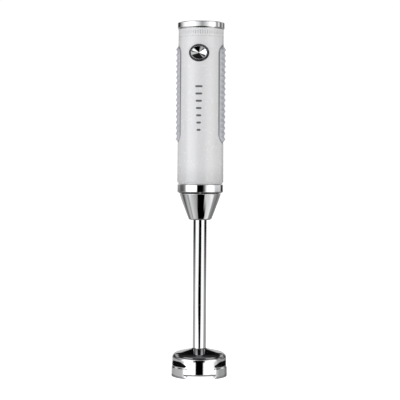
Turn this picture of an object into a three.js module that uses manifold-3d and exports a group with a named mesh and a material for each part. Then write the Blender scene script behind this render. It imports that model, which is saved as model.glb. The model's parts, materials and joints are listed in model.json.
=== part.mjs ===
// Immersion blender: a round white handle with two ribbed side grips and one chrome push button, on a polished
// steel leg. The leg ends in a bell with three side windows round a two-wing blade, and the handle twists and
// lifts off the leg's bayonet neck.
//
// Millimetres, +Z up. The origin is on the blender's axis, level with the bell's feet. The button faces -Y.

import * as THREE from "three";
import { mergeVertices } from "three/addons/utils/BufferGeometryUtils.js";
import Module from "manifold-3d";

const wasm = await Module();
wasm.setup();

// ---------------------------------------------------------------- driving dimensions

const FINE = 36; // facets of the large round pieces
const COARSE = 24; // facets of the motor's pieces
const SMALL = 16; // facets of shafts and bushes
const SCREW = 8; // facets of screws
const FRONT_ROUND = 14; // facets of the oval button and its bezel
const WELD = 1e-4; // vertices closer than this are one

// Leg, from the feet up
const BELL_RADIUS = 30.6;
const BELL_WAIST = 29.75; // radius above the flared mouth
const BELL_WALL = 1.1;
const BELL_TURN = 8; // degrees from the button's side to the middle of a plain wall, without a window
const ROOF_TOP = 30.2; // where the roof meets the tube
const WINDOWS = 3;
const WINDOW_HEIGHT = 15.1; // height of a window's middle
const NOTCH = 3.5; // depth of the scallops between the feet
const TUBE_RADIUS = 7.3;
const TUBE_WALL = 1.0;
const SLIP = 0.1; // radial gap round the tube and round each shaft
const CONE_BOTTOM = 171.9;
const CONE_TOP = 200.6;
const CONE_RADIUS = 22.5; // at the top
const NECK_RADIUS = 17.0;
const NECK_TOP = 221.5;
const SPINDLE_RADIUS = 3.0;
const BLADE_RADIUS = 24.0;
const BLADE_LEVEL = 8.0;

// Bayonet between the leg's neck and the handle's socket
const LUGS = 3;
const LUG_BOTTOM = 208.8;
const LUG_HEIGHT = 2.6;
const LUG_REACH = 19.4; // radius of a lug's outer face
const LUG_HALF = 12; // half of a lug's width, in degrees
const LOCK_TURN = 30; // degrees from free to locked

// Handle
const SOCKET_MOUTH = 204.6;
const SOCKET_ROOF = 224.0;
const COLLAR_RADIUS = 25.1;
const COLLAR_BOTTOM = 200.95; // level of the lip that hides the gasket
const GASKET_SEAT = 201.9; // level of the collar's underside above the gasket
const GASKET_RADIUS = 21.6;
const COLLAR_TOP = 210.7;
const HOUSING_BOTTOM = 211.0;
const HOUSING_TOP = 371.5;
const HOUSING_RADIUS = 25.4; // at the bottom; the tube narrows a little upwards
const HOUSING_TOP_RADIUS = 24.9;
const HOUSING_BORE = 22.7;
const CAP_RADIUS = 25.8;
const CAP_BOTTOM = 380.5;
const CAP_TOP = 388.3;
const VENTS = 60;
const VENT_RADIUS = 24.85;
const VENT_SLOT = { half: 0.32, low: 373.9, high: 378.0 };

// Grips, let into recesses at the sides
const GRIP_MIDDLE = 309.4;
const GRIP_HEIGHT = 107.7;
const GRIP_HALF_WIDTH = 14.4;
const GRIP_CORNER = 10.5;
const GRIP_FLOOR = 23.9; // radius of the recess's floor
const GRIP_VALLEY = 25.9; // radius between two ribs
const GRIP_PEAK = 27.3;
const GRIP_RIBS = 17;
const GRIP_SCREW_HEIGHTS = [262.0, 345.0];

// Button, in its own frame: out of the handle is +Z, up is +Y, and the origin is on the handle's axis
const BUTTON_HEIGHT = 353.1;
const BEZEL = { across: 10.95, up: 9.5, front: 26.6 };
const BUTTON = { across: 8.7, up: 7.2, rim: 27.6, dish: 25.15 };
const BUTTON_GAP = 0.25;
const SLEEVE_WALL = 0.95;

// Motor, in its own frame: the origin is on the axis, at the bottom of the can
const MOTOR_BOTTOM = 244.0;
const CAN_RADIUS = 20.0;
const CAN_HEIGHT = 56.0;
const CAN_WALL = 1.2;
const ARMATURE_RADIUS = 15.0;
const SLOTS = 12;
const MOTOR_SHAFT_RADIUS = 2.5;
const FAN_BLADES = 9;

// ---------------------------------------------------------------- helpers

const rad = (degrees) => (degrees * Math.PI) / 180;

/** A closed geometry as a solid that can be joined and cut. */
function solidOf(geometry) {
  const bare = new THREE.BufferGeometry();
  bare.setAttribute("position", geometry.getAttribute("position"));
  bare.setIndex(geometry.index);
  const merged = mergeVertices(bare, WELD);
  const vertProperties = merged.attributes.position.array;
  const triVerts = new Uint32Array(merged.index.array);
  return new wasm.Manifold(new wasm.Mesh({ numProp: 3, vertProperties, triVerts }));
}

/** A solid's surface as a geometry. */
function geometryOf(solid) {
  const { vertProperties, triVerts } = solid.getMesh();
  const geometry = new THREE.BufferGeometry();
  geometry.setAttribute("position", new THREE.BufferAttribute(vertProperties, 3));
  geometry.setIndex(new THREE.BufferAttribute(triVerts, 1));
  geometry.computeVertexNormals();
  return geometry;
}

const join = (...bodies) => geometryOf(bodies.map(solidOf).reduce((whole, next) => whole.add(next)));

const cut = (body, ...tools) =>
  geometryOf(tools.map(solidOf).reduce((left, tool) => left.subtract(tool), solidOf(body)));

const common = (a, b) => geometryOf(solidOf(a).intersect(solidOf(b)));

/** [radius, height] points turned about Z. The profile starts and ends on the axis, or closes on itself. */
function turned(profile, facets = FINE) {
  const points = profile.map(([r, z]) => new THREE.Vector2(r, z));
  if (profile[0][0] > 0) points.push(points[0].clone());
  if (THREE.ShapeUtils.area(points) < 0) points.reverse();
  return new THREE.LatheGeometry(points, facets).rotateX(Math.PI / 2);
}

/** A washer or sleeve, from an inner to an outer radius and from a low to a high level. */
function sleeve(inner, outer, low, high, facets = FINE) {
  return turned([[inner, low], [outer, low], [outer, high], [inner, high]], facets);
}

/** The range from a near to a far distance on the + or - side of an axis. */
const span = (side, near, far) => (side > 0 ? [near, far] : [-far, -near]);

/** A plain round bar on the Z axis. */
function bar(radius, low, high, facets = SMALL) {
  return turned([[0, low], [radius, low], [radius, high], [0, high]], facets);
}

function box(x, y, z) {
  const size = [x, y, z].map(([low, high]) => high - low);
  const middle = [x, y, z].map(([low, high]) => (low + high) / 2);
  return new THREE.BoxGeometry(...size).translate(...middle);
}

/** An outline in X and Y pushed up from a low to a high level. */
function prism(shape, low, high, curveSegments = 3) {
  const depth = high - low;
  return new THREE.ExtrudeGeometry(shape, { depth, bevelEnabled: false, curveSegments }).translate(0, 0, low);
}

/** Turns a piece from its own frame, with +Z outwards and +Y up, to stand on the -Y side. */
const toFront = (geometry) => geometry.rotateX(Math.PI / 2);

/** Turns the same frame to stand on the +X or -X side. */
const toSide = (geometry, side) => toFront(geometry).rotateZ((side * Math.PI) / 2);

/** Copies of a piece spread evenly round the Z axis, the first one turned by a number of degrees. */
function around(geometry, count, first = 0) {
  return Array.from({ length: count }, (_, i) => geometry.clone().rotateZ(rad(first + (360 * i) / count)));
}

/** A slice of a round disc, with its middle at -Y and a width of two halves, in degrees. */
function sector(inner, outer, half, low, high, curveSegments = 2) {
  const shape = new THREE.Shape();
  shape.absarc(0, 0, outer, rad(-90 - half), rad(-90 + half), false);
  shape.absarc(0, 0, inner, rad(-90 + half), rad(-90 - half), true);
  return prism(shape, low, high, curveSegments);
}

function oval(across, up) {
  const shape = new THREE.Shape();
  shape.absellipse(0, 0, across, up, 0, 2 * Math.PI);
  return shape;
}

function roundedOutline(halfWidth, halfHeight, corner) {
  const shape = new THREE.Shape();
  shape.absarc(halfWidth - corner, halfHeight - corner, corner, 0, Math.PI / 2);
  shape.absarc(corner - halfWidth, halfHeight - corner, corner, Math.PI / 2, Math.PI);
  shape.absarc(corner - halfWidth, corner - halfHeight, corner, Math.PI, 1.5 * Math.PI);
  shape.absarc(halfWidth - corner, corner - halfHeight, corner, 1.5 * Math.PI, 2 * Math.PI);
  return shape;
}

/** A line's points moved to its left by a distance, with mitred corners. */
function offset(points, distance) {
  const leftOf = (a, b) => new THREE.Vector2(a[1] - b[1], b[0] - a[0]).normalize();
  return points.map((point, i) => {
    const before = i > 0 ? leftOf(points[i - 1], point) : leftOf(point, points[1]);
    const after = i < points.length - 1 ? leftOf(point, points[i + 1]) : before;
    const mitre = before.clone().add(after).normalize();
    const reach = distance / mitre.dot(before);
    return [point[0] + mitre.x * reach, point[1] + mitre.y * reach];
  });
}

/** A round wire that follows a curve. */
function wire(curve, radius, steps, sides = 6) {
  const section = new THREE.Shape();
  section.absarc(0, 0, radius, 0, 2 * Math.PI);
  return new THREE.ExtrudeGeometry(section, { steps, extrudePath: curve, curveSegments: sides });
}

/** A pan-head screw, head up, with its seat at the origin. */
function screw(shankRadius, length, headRadius, headHeight) {
  return turned(
    [[0, -length], [shankRadius, -length], [shankRadius, 0], [headRadius, 0], [headRadius, headHeight],
      [0, headHeight]],
    SCREW,
  );
}

// ---------------------------------------------------------------- materials

const finish = (color, roughness, metalness) => new THREE.MeshStandardMaterial({ color, roughness, metalness });

const CHROME = finish(0xd8dadc, 0.08, 1);
const STEEL = finish(0xb9bbbd, 0.3, 1);
const WHITE = finish(0xe4e4e6, 0.25, 0);
const SILVER = finish(0xb4b6bb, 0.4, 0.5);
const GREY_PLASTIC = finish(0x8b8d90, 0.5, 0);
const BLACK_PLASTIC = finish(0x1b1c1e, 0.5, 0);
const RUBBER = finish(0x222324, 0.8, 0);
const BRONZE = finish(0xa9713a, 0.45, 1);
const COPPER = finish(0xb4683a, 0.35, 1);
const LAMINATION = finish(0x6f7175, 0.5, 1);
const MAGNET = finish(0x3a3b3d, 0.7, 0.2);
const CARBON = finish(0x2a2a2c, 0.8, 0);
const BOARD = finish(0x2f6b3c, 0.55, 0);

const blender = new THREE.Group();
const leg = new THREE.Group();
const handle = new THREE.Group();
const button = new THREE.Group();
const motor = new THREE.Group();
blender.add(leg, handle);
handle.add(button, motor);
button.position.z = BUTTON_HEIGHT;
button.rotation.x = Math.PI / 2;
motor.position.z = MOTOR_BOTTOM;

function piece(group, name, geometry, material) {
  const mesh = new THREE.Mesh(geometry, material);
  mesh.name = name;
  group.add(mesh);
  return mesh;
}

// ---------------------------------------------------------------- leg

/** One window of the bell: wide and square at the sill, leaning in towards a shorter top edge. */
function windowOutline() {
  const [sill, top, widest] = [-3.1, 2.9, 14.6];
  const shape = new THREE.Shape();
  shape.moveTo(-12.8, sill);
  shape.lineTo(12.8, sill);
  shape.quadraticCurveTo(15.0, sill, widest, -0.9);
  shape.lineTo(8.0, 2.3);
  shape.quadraticCurveTo(7.0, top, 5.6, top);
  shape.lineTo(-5.6, top);
  shape.quadraticCurveTo(-7.0, top, -8.0, 2.3);
  shape.lineTo(-widest, -0.9);
  shape.quadraticCurveTo(-15.0, sill, -12.8, sill);
  return shape;
}

/** The scallop cut out of the bell's mouth between two feet. */
function notchOutline() {
  const [top, bottom] = [14.2, 17.2];
  const below = 1;
  const shape = new THREE.Shape();
  shape.moveTo(-bottom, -below);
  shape.lineTo(bottom, -below);
  shape.lineTo(bottom, 0);
  shape.lineTo(top, NOTCH);
  shape.lineTo(-top, NOTCH);
  shape.lineTo(-bottom, 0);
  return shape;
}

function bell() {
  const path = new THREE.Path();
  path.moveTo(BELL_RADIUS, 0);
  path.lineTo(BELL_RADIUS, 3.5);
  path.lineTo(BELL_WAIST, 11.5);
  path.lineTo(BELL_WAIST, 19.0);
  path.bezierCurveTo(BELL_WAIST, 22.6, 27.1, 25.5, 24.0, 26.3);
  path.lineTo(TUBE_RADIUS - 1, ROOF_TOP + 0.3);
  const outer = path.getPoints(3).map((point) => [point.x, point.y]);
  const shell = turned([...outer, ...offset(outer, BELL_WALL).reverse()]);
  const hole = bar(TUBE_RADIUS + SLIP, 20, 40, FINE);
  const reach = [20, 40];
  const window = toFront(prism(windowOutline(), ...reach)).translate(0, 0, WINDOW_HEIGHT);
  const notch = toFront(prism(notchOutline(), ...reach));
  const windows = around(window, WINDOWS, BELL_TURN + 180 / WINDOWS);
  const notches = around(notch, WINDOWS, BELL_TURN);
  return cut(shell, hole, ...windows, ...notches);
}

/** The plastic hub under the bell's roof. It carries the lower bush and the shaft seal. */
function bellHub() {
  const bore = SPINDLE_RADIUS + 0.5;
  const spigot = TUBE_RADIUS - TUBE_WALL - 0.1;
  return turned(
    [[7.0, 14.0], [10.2, 14.0], [11.4, 24.0], [11.4, 28.1], [spigot, 28.1], [spigot, 44.0], [5.2, 44.0], [5.2, 30.0],
      [bore, 30.0], [bore, 18.2], [7.0, 18.2]],
    COARSE,
  );
}

function legCone() {
  const path = new THREE.Path();
  path.moveTo(TUBE_RADIUS + SLIP, CONE_BOTTOM);
  path.lineTo(10.9, CONE_BOTTOM);
  path.quadraticCurveTo(12.9, CONE_BOTTOM, 13.6, CONE_BOTTOM + 3.0);
  path.lineTo(CONE_RADIUS, CONE_TOP - 0.5);
  path.lineTo(CONE_RADIUS - 0.3, CONE_TOP);
  path.lineTo(20.9, CONE_TOP);
  path.lineTo(12.5, CONE_BOTTOM + 3.7);
  path.lineTo(11.0, CONE_BOTTOM + 1.3);
  path.lineTo(TUBE_RADIUS + SLIP, CONE_BOTTOM + 1.3);
  return turned(path.getPoints(3).map((point) => [point.x, point.y]));
}

/** The plastic core of the cone. Its neck stands up into the handle and carries the bayonet's lugs. */
function legNeck() {
  const shoulder = CONE_TOP - 0.3;
  const tubeFit = TUBE_RADIUS + SLIP;
  const core = turned(
    [[tubeFit, 175.8], [12.1, 175.8], [20.2, 199.8], [20.2, shoulder], [NECK_RADIUS, shoulder],
      [NECK_RADIUS, NECK_TOP - 0.6], [NECK_RADIUS - 0.6, NECK_TOP], [9.6, NECK_TOP], [9.6, 203.2], [3.6, 203.2],
      [3.6, 200.2], [6.15, 200.2], [6.15, 190.3], [tubeFit, 190.3]],
    COARSE,
  );
  const lug = sector(NECK_RADIUS - 1, LUG_REACH, LUG_HALF, LUG_BOTTOM, LUG_BOTTOM + LUG_HEIGHT);
  return join(core, ...around(lug, LUGS));
}

piece(leg, "bell", bell(), CHROME);
piece(leg, "bell_hub", bellHub(), GREY_PLASTIC);
piece(leg, "shaft_tube", sleeve(TUBE_RADIUS - TUBE_WALL, TUBE_RADIUS, 28.4, 190.1, COARSE), CHROME);
piece(leg, "leg_cone", legCone(), CHROME);
piece(leg, "leg_neck", legNeck(), GREY_PLASTIC);
piece(leg, "lower_bush", sleeve(SPINDLE_RADIUS + SLIP, 5.1, 30.2, 43.0, SMALL), BRONZE);
piece(leg, "upper_bush", sleeve(SPINDLE_RADIUS + SLIP, 6.0, 190.5, 200.0, SMALL), BRONZE);
piece(leg, "shaft_seal", sleeve(SPINDLE_RADIUS + SLIP, 6.85, 14.2, 18.0, SMALL), RUBBER);

// ---------------------------------------------------------------- spindle, from the blade up to the dog clutch

/** Two swept wings on a boss. One wing leans up towards its tip and the other leans down. */
function blade() {
  const thickness = 1.2;
  const lean = 0.16;
  const flatRadius = 7;
  const wing = new THREE.Shape();
  wing.moveTo(0, -5.2);
  wing.lineTo(8, -5.4);
  wing.quadraticCurveTo(17, -5.4, BLADE_RADIUS - 0.6, 1.2);
  wing.quadraticCurveTo(BLADE_RADIUS, 3.4, BLADE_RADIUS - 2.4, 3.6);
  wing.quadraticCurveTo(15, 1.6, 8, 4.4);
  wing.lineTo(0, 5.2);
  const bent = [1, -1].map((way) => {
    const body = prism(wing, BLADE_LEVEL, BLADE_LEVEL + thickness);
    const position = body.getAttribute("position");
    for (let i = 0; i < position.count; i++) {
      const beyond = Math.max(0, position.getX(i) - flatRadius);
      position.setZ(i, position.getZ(i) + way * lean * beyond);
    }
    return way > 0 ? body : body.rotateZ(Math.PI);
  });
  const boss = bar(5.6, BLADE_LEVEL, BLADE_LEVEL + thickness, COARSE);
  const bore = bar(SPINDLE_RADIUS + SLIP, 0, 20);
  return cut(join(boss, ...bent), bore);
}

function bladeNut() {
  const bore = SPINDLE_RADIUS + SLIP;
  return turned([[0, 4.2], [2.6, 4.5], [4.4, 5.6], [4.8, 7.7], [bore, 7.7], [bore, 5.0], [0, 5.0]], SMALL);
}

// The dog clutch: three dogs on each half, each 30 degrees wide
const DOG_HALF = 15;
const DOG_LAG = 31; // degrees from a motor dog to the leg dog that it drives
const DOGS = { inner: 3.4, outer: 7.4, low: 213.0, high: 219.5 };

function legCoupling() {
  const body = turned([[0, 205.2], [8.4, 205.2], [8.4, DOGS.low], [0, DOGS.low]], SMALL);
  const spindleHole = bar(SPINDLE_RADIUS + SLIP, 205, 211.4);
  const dog = sector(DOGS.inner, DOGS.outer, DOG_HALF, DOGS.low - 0.5, DOGS.high);
  return cut(join(body, ...around(dog, 3, -DOG_LAG)), spindleHole);
}

piece(leg, "drive_shaft", bar(SPINDLE_RADIUS, 5.2, 211.0), STEEL);
piece(leg, "leg_coupling", legCoupling(), BLACK_PLASTIC);
piece(leg, "blade", blade(), STEEL);
piece(leg, "blade_nut", bladeNut(), STEEL);
piece(leg, "blade_spacer", sleeve(SPINDLE_RADIUS + SLIP, 4.8, 9.5, 13.8, SMALL), STEEL);

// ---------------------------------------------------------------- handle's shell

/** The white tube, open at both ends, with the button's opening, the grips' recesses and four screw holes. */
function housingTube() {
  const tube = turned(
    [[HOUSING_BORE, HOUSING_BOTTOM], [24.2, HOUSING_BOTTOM], [24.2, HOUSING_BOTTOM + 1.4],
      [HOUSING_RADIUS - 0.5, HOUSING_BOTTOM + 2.0], [HOUSING_RADIUS, HOUSING_BOTTOM + 2.7],
      [HOUSING_TOP_RADIUS, HOUSING_TOP], [HOUSING_BORE, HOUSING_TOP]],
  );
  const opening = toFront(prism(oval(BEZEL.across - 0.85, BEZEL.up - 0.85), 15, 35, FRONT_ROUND))
    .translate(0, 0, BUTTON_HEIGHT);
  const core = bar(GRIP_FLOOR, 200, 400, FINE);
  const recesses = [1, -1].map((side) => {
    const outline = roundedOutline(GRIP_HALF_WIDTH + 0.25, GRIP_HEIGHT / 2 + 0.25, GRIP_CORNER);
    return cut(toSide(prism(outline, 10, 40), side).translate(0, 0, GRIP_MIDDLE), core);
  });
  const holes = GRIP_SCREW_HEIGHTS.flatMap((height) =>
    [1, -1].map((side) => toSide(bar(1.7, 15, 35), side).translate(0, 0, height)));
  return cut(tube, opening, ...recesses, ...holes);
}

/** A ribbed grip. The screws' heads stand in two blind pockets behind it. */
function grip(side) {
  const pitch = GRIP_HEIGHT / (GRIP_RIBS + 0.6);
  const low = GRIP_MIDDLE - GRIP_HEIGHT / 2;
  const high = GRIP_MIDDLE + GRIP_HEIGHT / 2;
  const stepsPerRib = 2;
  const first = GRIP_MIDDLE - (GRIP_RIBS * pitch) / 2;
  const ribbed = Array.from({ length: GRIP_RIBS * stepsPerRib + 1 }, (_, i) => {
    const wave = Math.abs(Math.cos((Math.PI * (i + stepsPerRib / 2)) / stepsPerRib));
    return [GRIP_PEAK - (GRIP_PEAK - GRIP_VALLEY) * wave, first + (i * pitch) / stepsPerRib];
  });
  const inner = GRIP_FLOOR + 0.2;
  const edge = GRIP_VALLEY - 0.4;
  const blank = turned([[inner, low], [edge, low], ...ribbed.slice(1, -1), [edge, high], [inner, high]], FINE);
  const outline = roundedOutline(GRIP_HALF_WIDTH, GRIP_HEIGHT / 2, GRIP_CORNER);
  const die = toSide(prism(outline, 10, 40), side).translate(0, 0, GRIP_MIDDLE);
  const pockets = GRIP_SCREW_HEIGHTS.map((height) => toSide(bar(3.1, 15, 25.35), side).translate(0, 0, height));
  return cut(common(blank, die), ...pockets);
}

/** The white ring under the cap, with upright vent slots all round and a spigot that enters the tube. */
function ventRing() {
  const ring = turned(
    [[21.4, HOUSING_TOP - 1.7], [22.4, HOUSING_TOP - 1.7], [22.4, HOUSING_TOP + 0.2], [VENT_RADIUS, HOUSING_TOP + 0.2],
      [VENT_RADIUS, CAP_BOTTOM - 0.3], [22.7, CAP_BOTTOM - 0.3]],
    VENTS,
  );
  const slot = box([-VENT_SLOT.half, VENT_SLOT.half], [-VENT_RADIUS - 2, -21.5], [VENT_SLOT.low, VENT_SLOT.high]);
  return cut(ring, ...around(slot, VENTS, 180 / VENTS));
}

/** The chrome cap: a crowned top, a thin wall and a spigot that enters the vent ring. */
function topCap() {
  const wall = 1.5;
  const spigot = { inner: 21.2, outer: 22.3, depth: 2.0 };
  return turned([
    [6.1, CAP_TOP], [20.0, CAP_TOP], [CAP_RADIUS - 2.3, CAP_TOP - 0.6], [CAP_RADIUS - 0.7, CAP_TOP - 1.8],
    [CAP_RADIUS, CAP_TOP - 3.4], [CAP_RADIUS, CAP_BOTTOM + 0.5], [CAP_RADIUS - 0.6, CAP_BOTTOM],
    [spigot.outer, CAP_BOTTOM], [spigot.outer, CAP_BOTTOM - spigot.depth], [spigot.inner, CAP_BOTTOM - spigot.depth],
    [spigot.inner, CAP_BOTTOM + wall], [CAP_RADIUS - wall, CAP_BOTTOM + wall], [CAP_RADIUS - wall, CAP_TOP - 3.8],
    [22.4, CAP_TOP - 2.2], [19.6, CAP_TOP - wall], [6.1, CAP_TOP - wall],
  ]);
}

/** The rubber bush in the cap that the mains lead would come out of. */
function cordGland() {
  const bore = 3.4;
  const top = CAP_TOP + 0.2;
  const under = CAP_TOP - 1.7;
  return turned(
    [[bore, top + 1.1], [6.6, top + 1.1], [7.6, top + 0.5], [7.6, top], [5.9, top], [5.9, under], [7.0, under],
      [7.0, under - 1.5], [bore, under - 1.5]],
    COARSE,
  );
}

/** The chrome collar. Its underside steps down outside the gasket to a lip just above the cone. */
function collar() {
  const mouth = 20.4;
  const bore = 22.6;
  const shelf = GASKET_SEAT + 2.5;
  const lip = GASKET_RADIUS + 0.25;
  return turned([
    [mouth, GASKET_SEAT], [lip, GASKET_SEAT], [lip, COLLAR_BOTTOM], [lip + 0.9, COLLAR_BOTTOM],
    [COLLAR_RADIUS, COLLAR_BOTTOM + 2.4], [COLLAR_RADIUS, COLLAR_TOP - 0.3], [COLLAR_RADIUS - 0.3, COLLAR_TOP],
    [bore, COLLAR_TOP], [bore, shelf], [mouth, shelf],
  ]);
}

/** The rubber ring that the cone's top face closes on. */
const collarGasket = () => sleeve(LUG_REACH + 0.35, GASKET_RADIUS, CONE_TOP + 0.25, GASKET_SEAT - 0.25);

/** The socket that the leg's neck enters. Each lug rises through a slot and then turns over a ledge. */
function legSocket() {
  const bore = NECK_RADIUS + 0.5;
  const channel = LUG_REACH + 0.4;
  const ledgeTop = LUG_BOTTOM - 0.4;
  const channelTop = LUG_BOTTOM + LUG_HEIGHT + 0.8;
  const play = 1;
  const body = turned(
    [[bore, SOCKET_MOUTH], [22.4, SOCKET_MOUTH], [22.4, 235.6], [20.4, 235.6], [20.4, 227.0], [9.0, 227.0],
      [9.0, SOCKET_ROOF], [bore, SOCKET_ROOF]],
  );
  const slot = sector(bore - 1, channel, LUG_HALF + play, SOCKET_MOUTH - 1, channelTop);
  const pocketHalf = LUG_HALF + play + LOCK_TURN / 2;
  const pocket = sector(bore - 1, channel, pocketHalf, ledgeTop, channelTop, 4);
  // Locking turns the handle about +Z, so in the socket the lugs travel the other way.
  const screws = around(bar(1.5, 220, 230).translate(0, -14, 0), 2, 90);
  return cut(body, ...around(slot, LUGS), ...around(pocket, LUGS, -LOCK_TURN / 2), ...screws);
}

piece(handle, "housing_tube", housingTube(), WHITE);
piece(handle, "grip_right", grip(1), SILVER);
piece(handle, "grip_left", grip(-1), SILVER);
piece(handle, "vent_ring", ventRing(), WHITE);
piece(handle, "top_cap", topCap(), CHROME);
piece(handle, "cord_gland", cordGland(), RUBBER);
piece(handle, "collar", collar(), CHROME);
piece(handle, "collar_gasket", collarGasket(), RUBBER);
piece(handle, "leg_socket", legSocket(), GREY_PLASTIC);

GRIP_SCREW_HEIGHTS.forEach((height, row) => {
  [1, -1].forEach((side) => {
    const name = `grip_screw_${row ? "upper" : "lower"}_${side > 0 ? "right" : "left"}`;
    const made = piece(handle, name, toSide(screw(1.3, 3.2, 2.7, 1.1), side), STEEL);
    made.position.set(side * (GRIP_FLOOR + 0.1), 0, height);
  });
});

[1, -1].forEach((side) => {
  const name = `socket_screw_${side > 0 ? "right" : "left"}`;
  const made = piece(handle, name, screw(1.3, 9.5, 2.6, 1.4).rotateX(Math.PI), STEEL);
  made.position.set(side * 14, 0, SOCKET_ROOF - 0.1);
});

// ---------------------------------------------------------------- button, in its outward frame

/** The oval ring round the button: a flange saddled on the tube, and a sleeve through the wall. */
function bezel() {
  const saddle = HOUSING_TOP_RADIUS + 0.3;
  const flange = cut(
    prism(oval(BEZEL.across, BEZEL.up), 18, BEZEL.front, FRONT_ROUND),
    bar(saddle, -40, 40, FINE).rotateX(Math.PI / 2),
  );
  const bore = [BUTTON.across + BUTTON_GAP, BUTTON.up + BUTTON_GAP];
  const outside = bore.map((half) => half + SLEEVE_WALL);
  const tube = prism(oval(...outside), 19.5, BEZEL.front - 0.4, FRONT_ROUND);
  return cut(join(flange, tube), prism(oval(...bore), 15, 35, FRONT_ROUND));
}

/** The chrome button: a shallow cone dished into its face, a retaining flange behind and a stem. */
function powerButton() {
  const cap = prism(oval(BUTTON.across, BUTTON.up), 18, BUTTON.rim, FRONT_ROUND);
  const dish = turned([[0, BUTTON.dish], [8, BUTTON.rim], [8, BUTTON.rim + 2], [0, BUTTON.rim + 2]], FRONT_ROUND)
    .scale(BUTTON.across / 8.3, BUTTON.up / 8.3, 1);
  const flange = prism(oval(BUTTON.across + 1.0, BUTTON.up + 1.0), 18, 19.2, FRONT_ROUND);
  const stem = bar(2.2, 10.2, 18.5);
  return cut(join(cap, flange, stem), dish);
}

function buttonSpring() {
  const [radius, wireRadius, turns] = [4.2, 0.4, 5];
  const [low, high] = [7.3, 17.3];
  class Helix extends THREE.Curve {
    getPoint(t, target = new THREE.Vector3()) {
      const angle = 2 * Math.PI * turns * t;
      return target.set(radius * Math.cos(angle), radius * Math.sin(angle), low + (high - low) * t);
    }
  }
  return wire(new Helix(), wireRadius, turns * 8, 2);
}

piece(button, "button_bezel", bezel(), CHROME);
piece(button, "power_button", powerButton(), CHROME);
piece(button, "button_spring", buttonSpring(), STEEL);
piece(button, "switch_plunger", bar(1.5, 4.5, 10.0), WHITE);
piece(button, "switch_body", cut(box([-6, 6], [-6, 6], [-4.5, 6.5]), bar(1.8, 1.5, 8)), BLACK_PLASTIC);

// ---------------------------------------------------------------- chassis and circuit board

/** The plastic frame above the motor: a plate, two rails that hold the board and a bridge that holds the lead. */
function chassis() {
  const plate = sleeve(6, 22.3, 334, 336.2, COARSE);
  const rails = [1, -1].map((side) => box(span(side, 15.4, 20.0), [2.5, 8.5], [336, 369]));
  const bosses = [1, -1].map((side) => box(span(side, 16.8, 21.8), [-3.5, 3.5], [341.5, 348.5]));
  const bridge = box([-19, 19], [-4.5, 8.5], [366, 369]);
  const boardSlot = box([-16.7, 16.7], [4.5, 6.5], [336.1, 365.9]);
  const leadHole = bar(3.6, 360, 375);
  const pilots = [1, -1].map((side) => toSide(bar(1.5, 19, 30), side).translate(0, 0, GRIP_SCREW_HEIGHTS[1]));
  const clampPilots = [1, -1].map((side) => bar(1.2, 360, 375).translate(side * 8, 0, 0));
  return cut(join(plate, ...rails, ...bosses, bridge), boardSlot, leadHole, ...pilots, ...clampPilots);
}

/** The cup under the motor. It takes the two lower grip screws and stands on two posts on the socket's roof. */
function motorCradle() {
  const cup = turned(
    [[8, 236], [22.3, 236], [22.3, 268], [20.6, 268], [20.6, 238.6], [8, 238.6]],
    COARSE,
  );
  const posts = around(bar(3, 227.4, 237).translate(0, -14, 0), 2, 90);
  const pilots = around(bar(1.5, 220, 237).translate(0, -14, 0), 2, 90);
  const sidePilots = [1, -1].map((side) => toSide(bar(1.5, 15, 30), side).translate(0, 0, GRIP_SCREW_HEIGHTS[0]));
  return cut(join(cup, ...posts), ...pilots, ...sidePilots);
}

const clampBar = () => cut(
  box([-11, 11], [-4, 4], [369.3, 372.3]),
  bar(3.4, 360, 380),
  ...[1, -1].map((side) => bar(1.5, 360, 380).translate(side * 8, 0, 0)),
);

piece(handle, "chassis", chassis(), BLACK_PLASTIC);
piece(handle, "motor_cradle", motorCradle(), BLACK_PLASTIC);
piece(handle, "circuit_board", box([-16.4, 16.4], [4.7, 6.3], [337, 365]), BOARD);
piece(handle, "capacitor", box([-9, 9], [6.6, 15], [344, 356]), GREY_PLASTIC);
piece(handle, "bridge_rectifier", box([-7.5, 7.5], [6.6, 10.2], [357.5, 364.5]), BLACK_PLASTIC);
piece(handle, "cord_clamp", clampBar(), BLACK_PLASTIC);
[1, -1].forEach((side) => {
  const made = piece(handle, `clamp_screw_${side > 0 ? "right" : "left"}`, screw(1.0, 6, 2.2, 1.2), STEEL);
  made.position.set(side * 8, 0, 372.5);
});

// ---------------------------------------------------------------- motor, in its own frame

function motorCan() {
  return turned(
    [[5.2, -4.4], [6.6, -4.4], [6.6, 0], [CAN_RADIUS, 0], [CAN_RADIUS, CAN_HEIGHT], [CAN_RADIUS - CAN_WALL, CAN_HEIGHT],
      [CAN_RADIUS - CAN_WALL, CAN_WALL], [5.2, CAN_WALL]],
    COARSE,
  );
}

const magnet = (side) => sector(15.6, 18.5, 62, 8, 46, 5).rotateZ((side * Math.PI) / 2);

// The armature's slotted stack, with copper wound through its slots
const SLOT = { half: 1.3, floor: 8.6 };
const STACK = { low: 12, high: 42 };

function armatureCore() {
  const stack = sleeve(MOTOR_SHAFT_RADIUS + SLIP, ARMATURE_RADIUS, STACK.low, STACK.high, 36);
  const slot = box([-SLOT.half, SLOT.half], [-20, -SLOT.floor], [0, 60]);
  return cut(stack, ...around(slot, SLOTS));
}

function armatureWinding() {
  const gap = 0.3;
  const heads = [[STACK.low - 6.5, STACK.low - gap], [STACK.high + gap, STACK.high + 6.5]].map(([low, high]) =>
    turned([[4.2, low], [12.5, low], [13.8, low + 2], [13.8, high - 2], [12.5, high], [4.2, high]], SLOTS));
  const half = SLOT.half - gap;
  const lane = box([-half, half], [-13.4, -SLOT.floor - gap], [STACK.low - 3, STACK.high + 3]);
  return join(...heads, ...around(lane, SLOTS));
}

function commutator() {
  const bore = MOTOR_SHAFT_RADIUS + SLIP;
  return turned([[bore, 52.5], [7.2, 52.5], [7.2, 54.5], [5.8, 54.5], [5.8, 67.5], [bore, 67.5]], SMALL);
}

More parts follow.
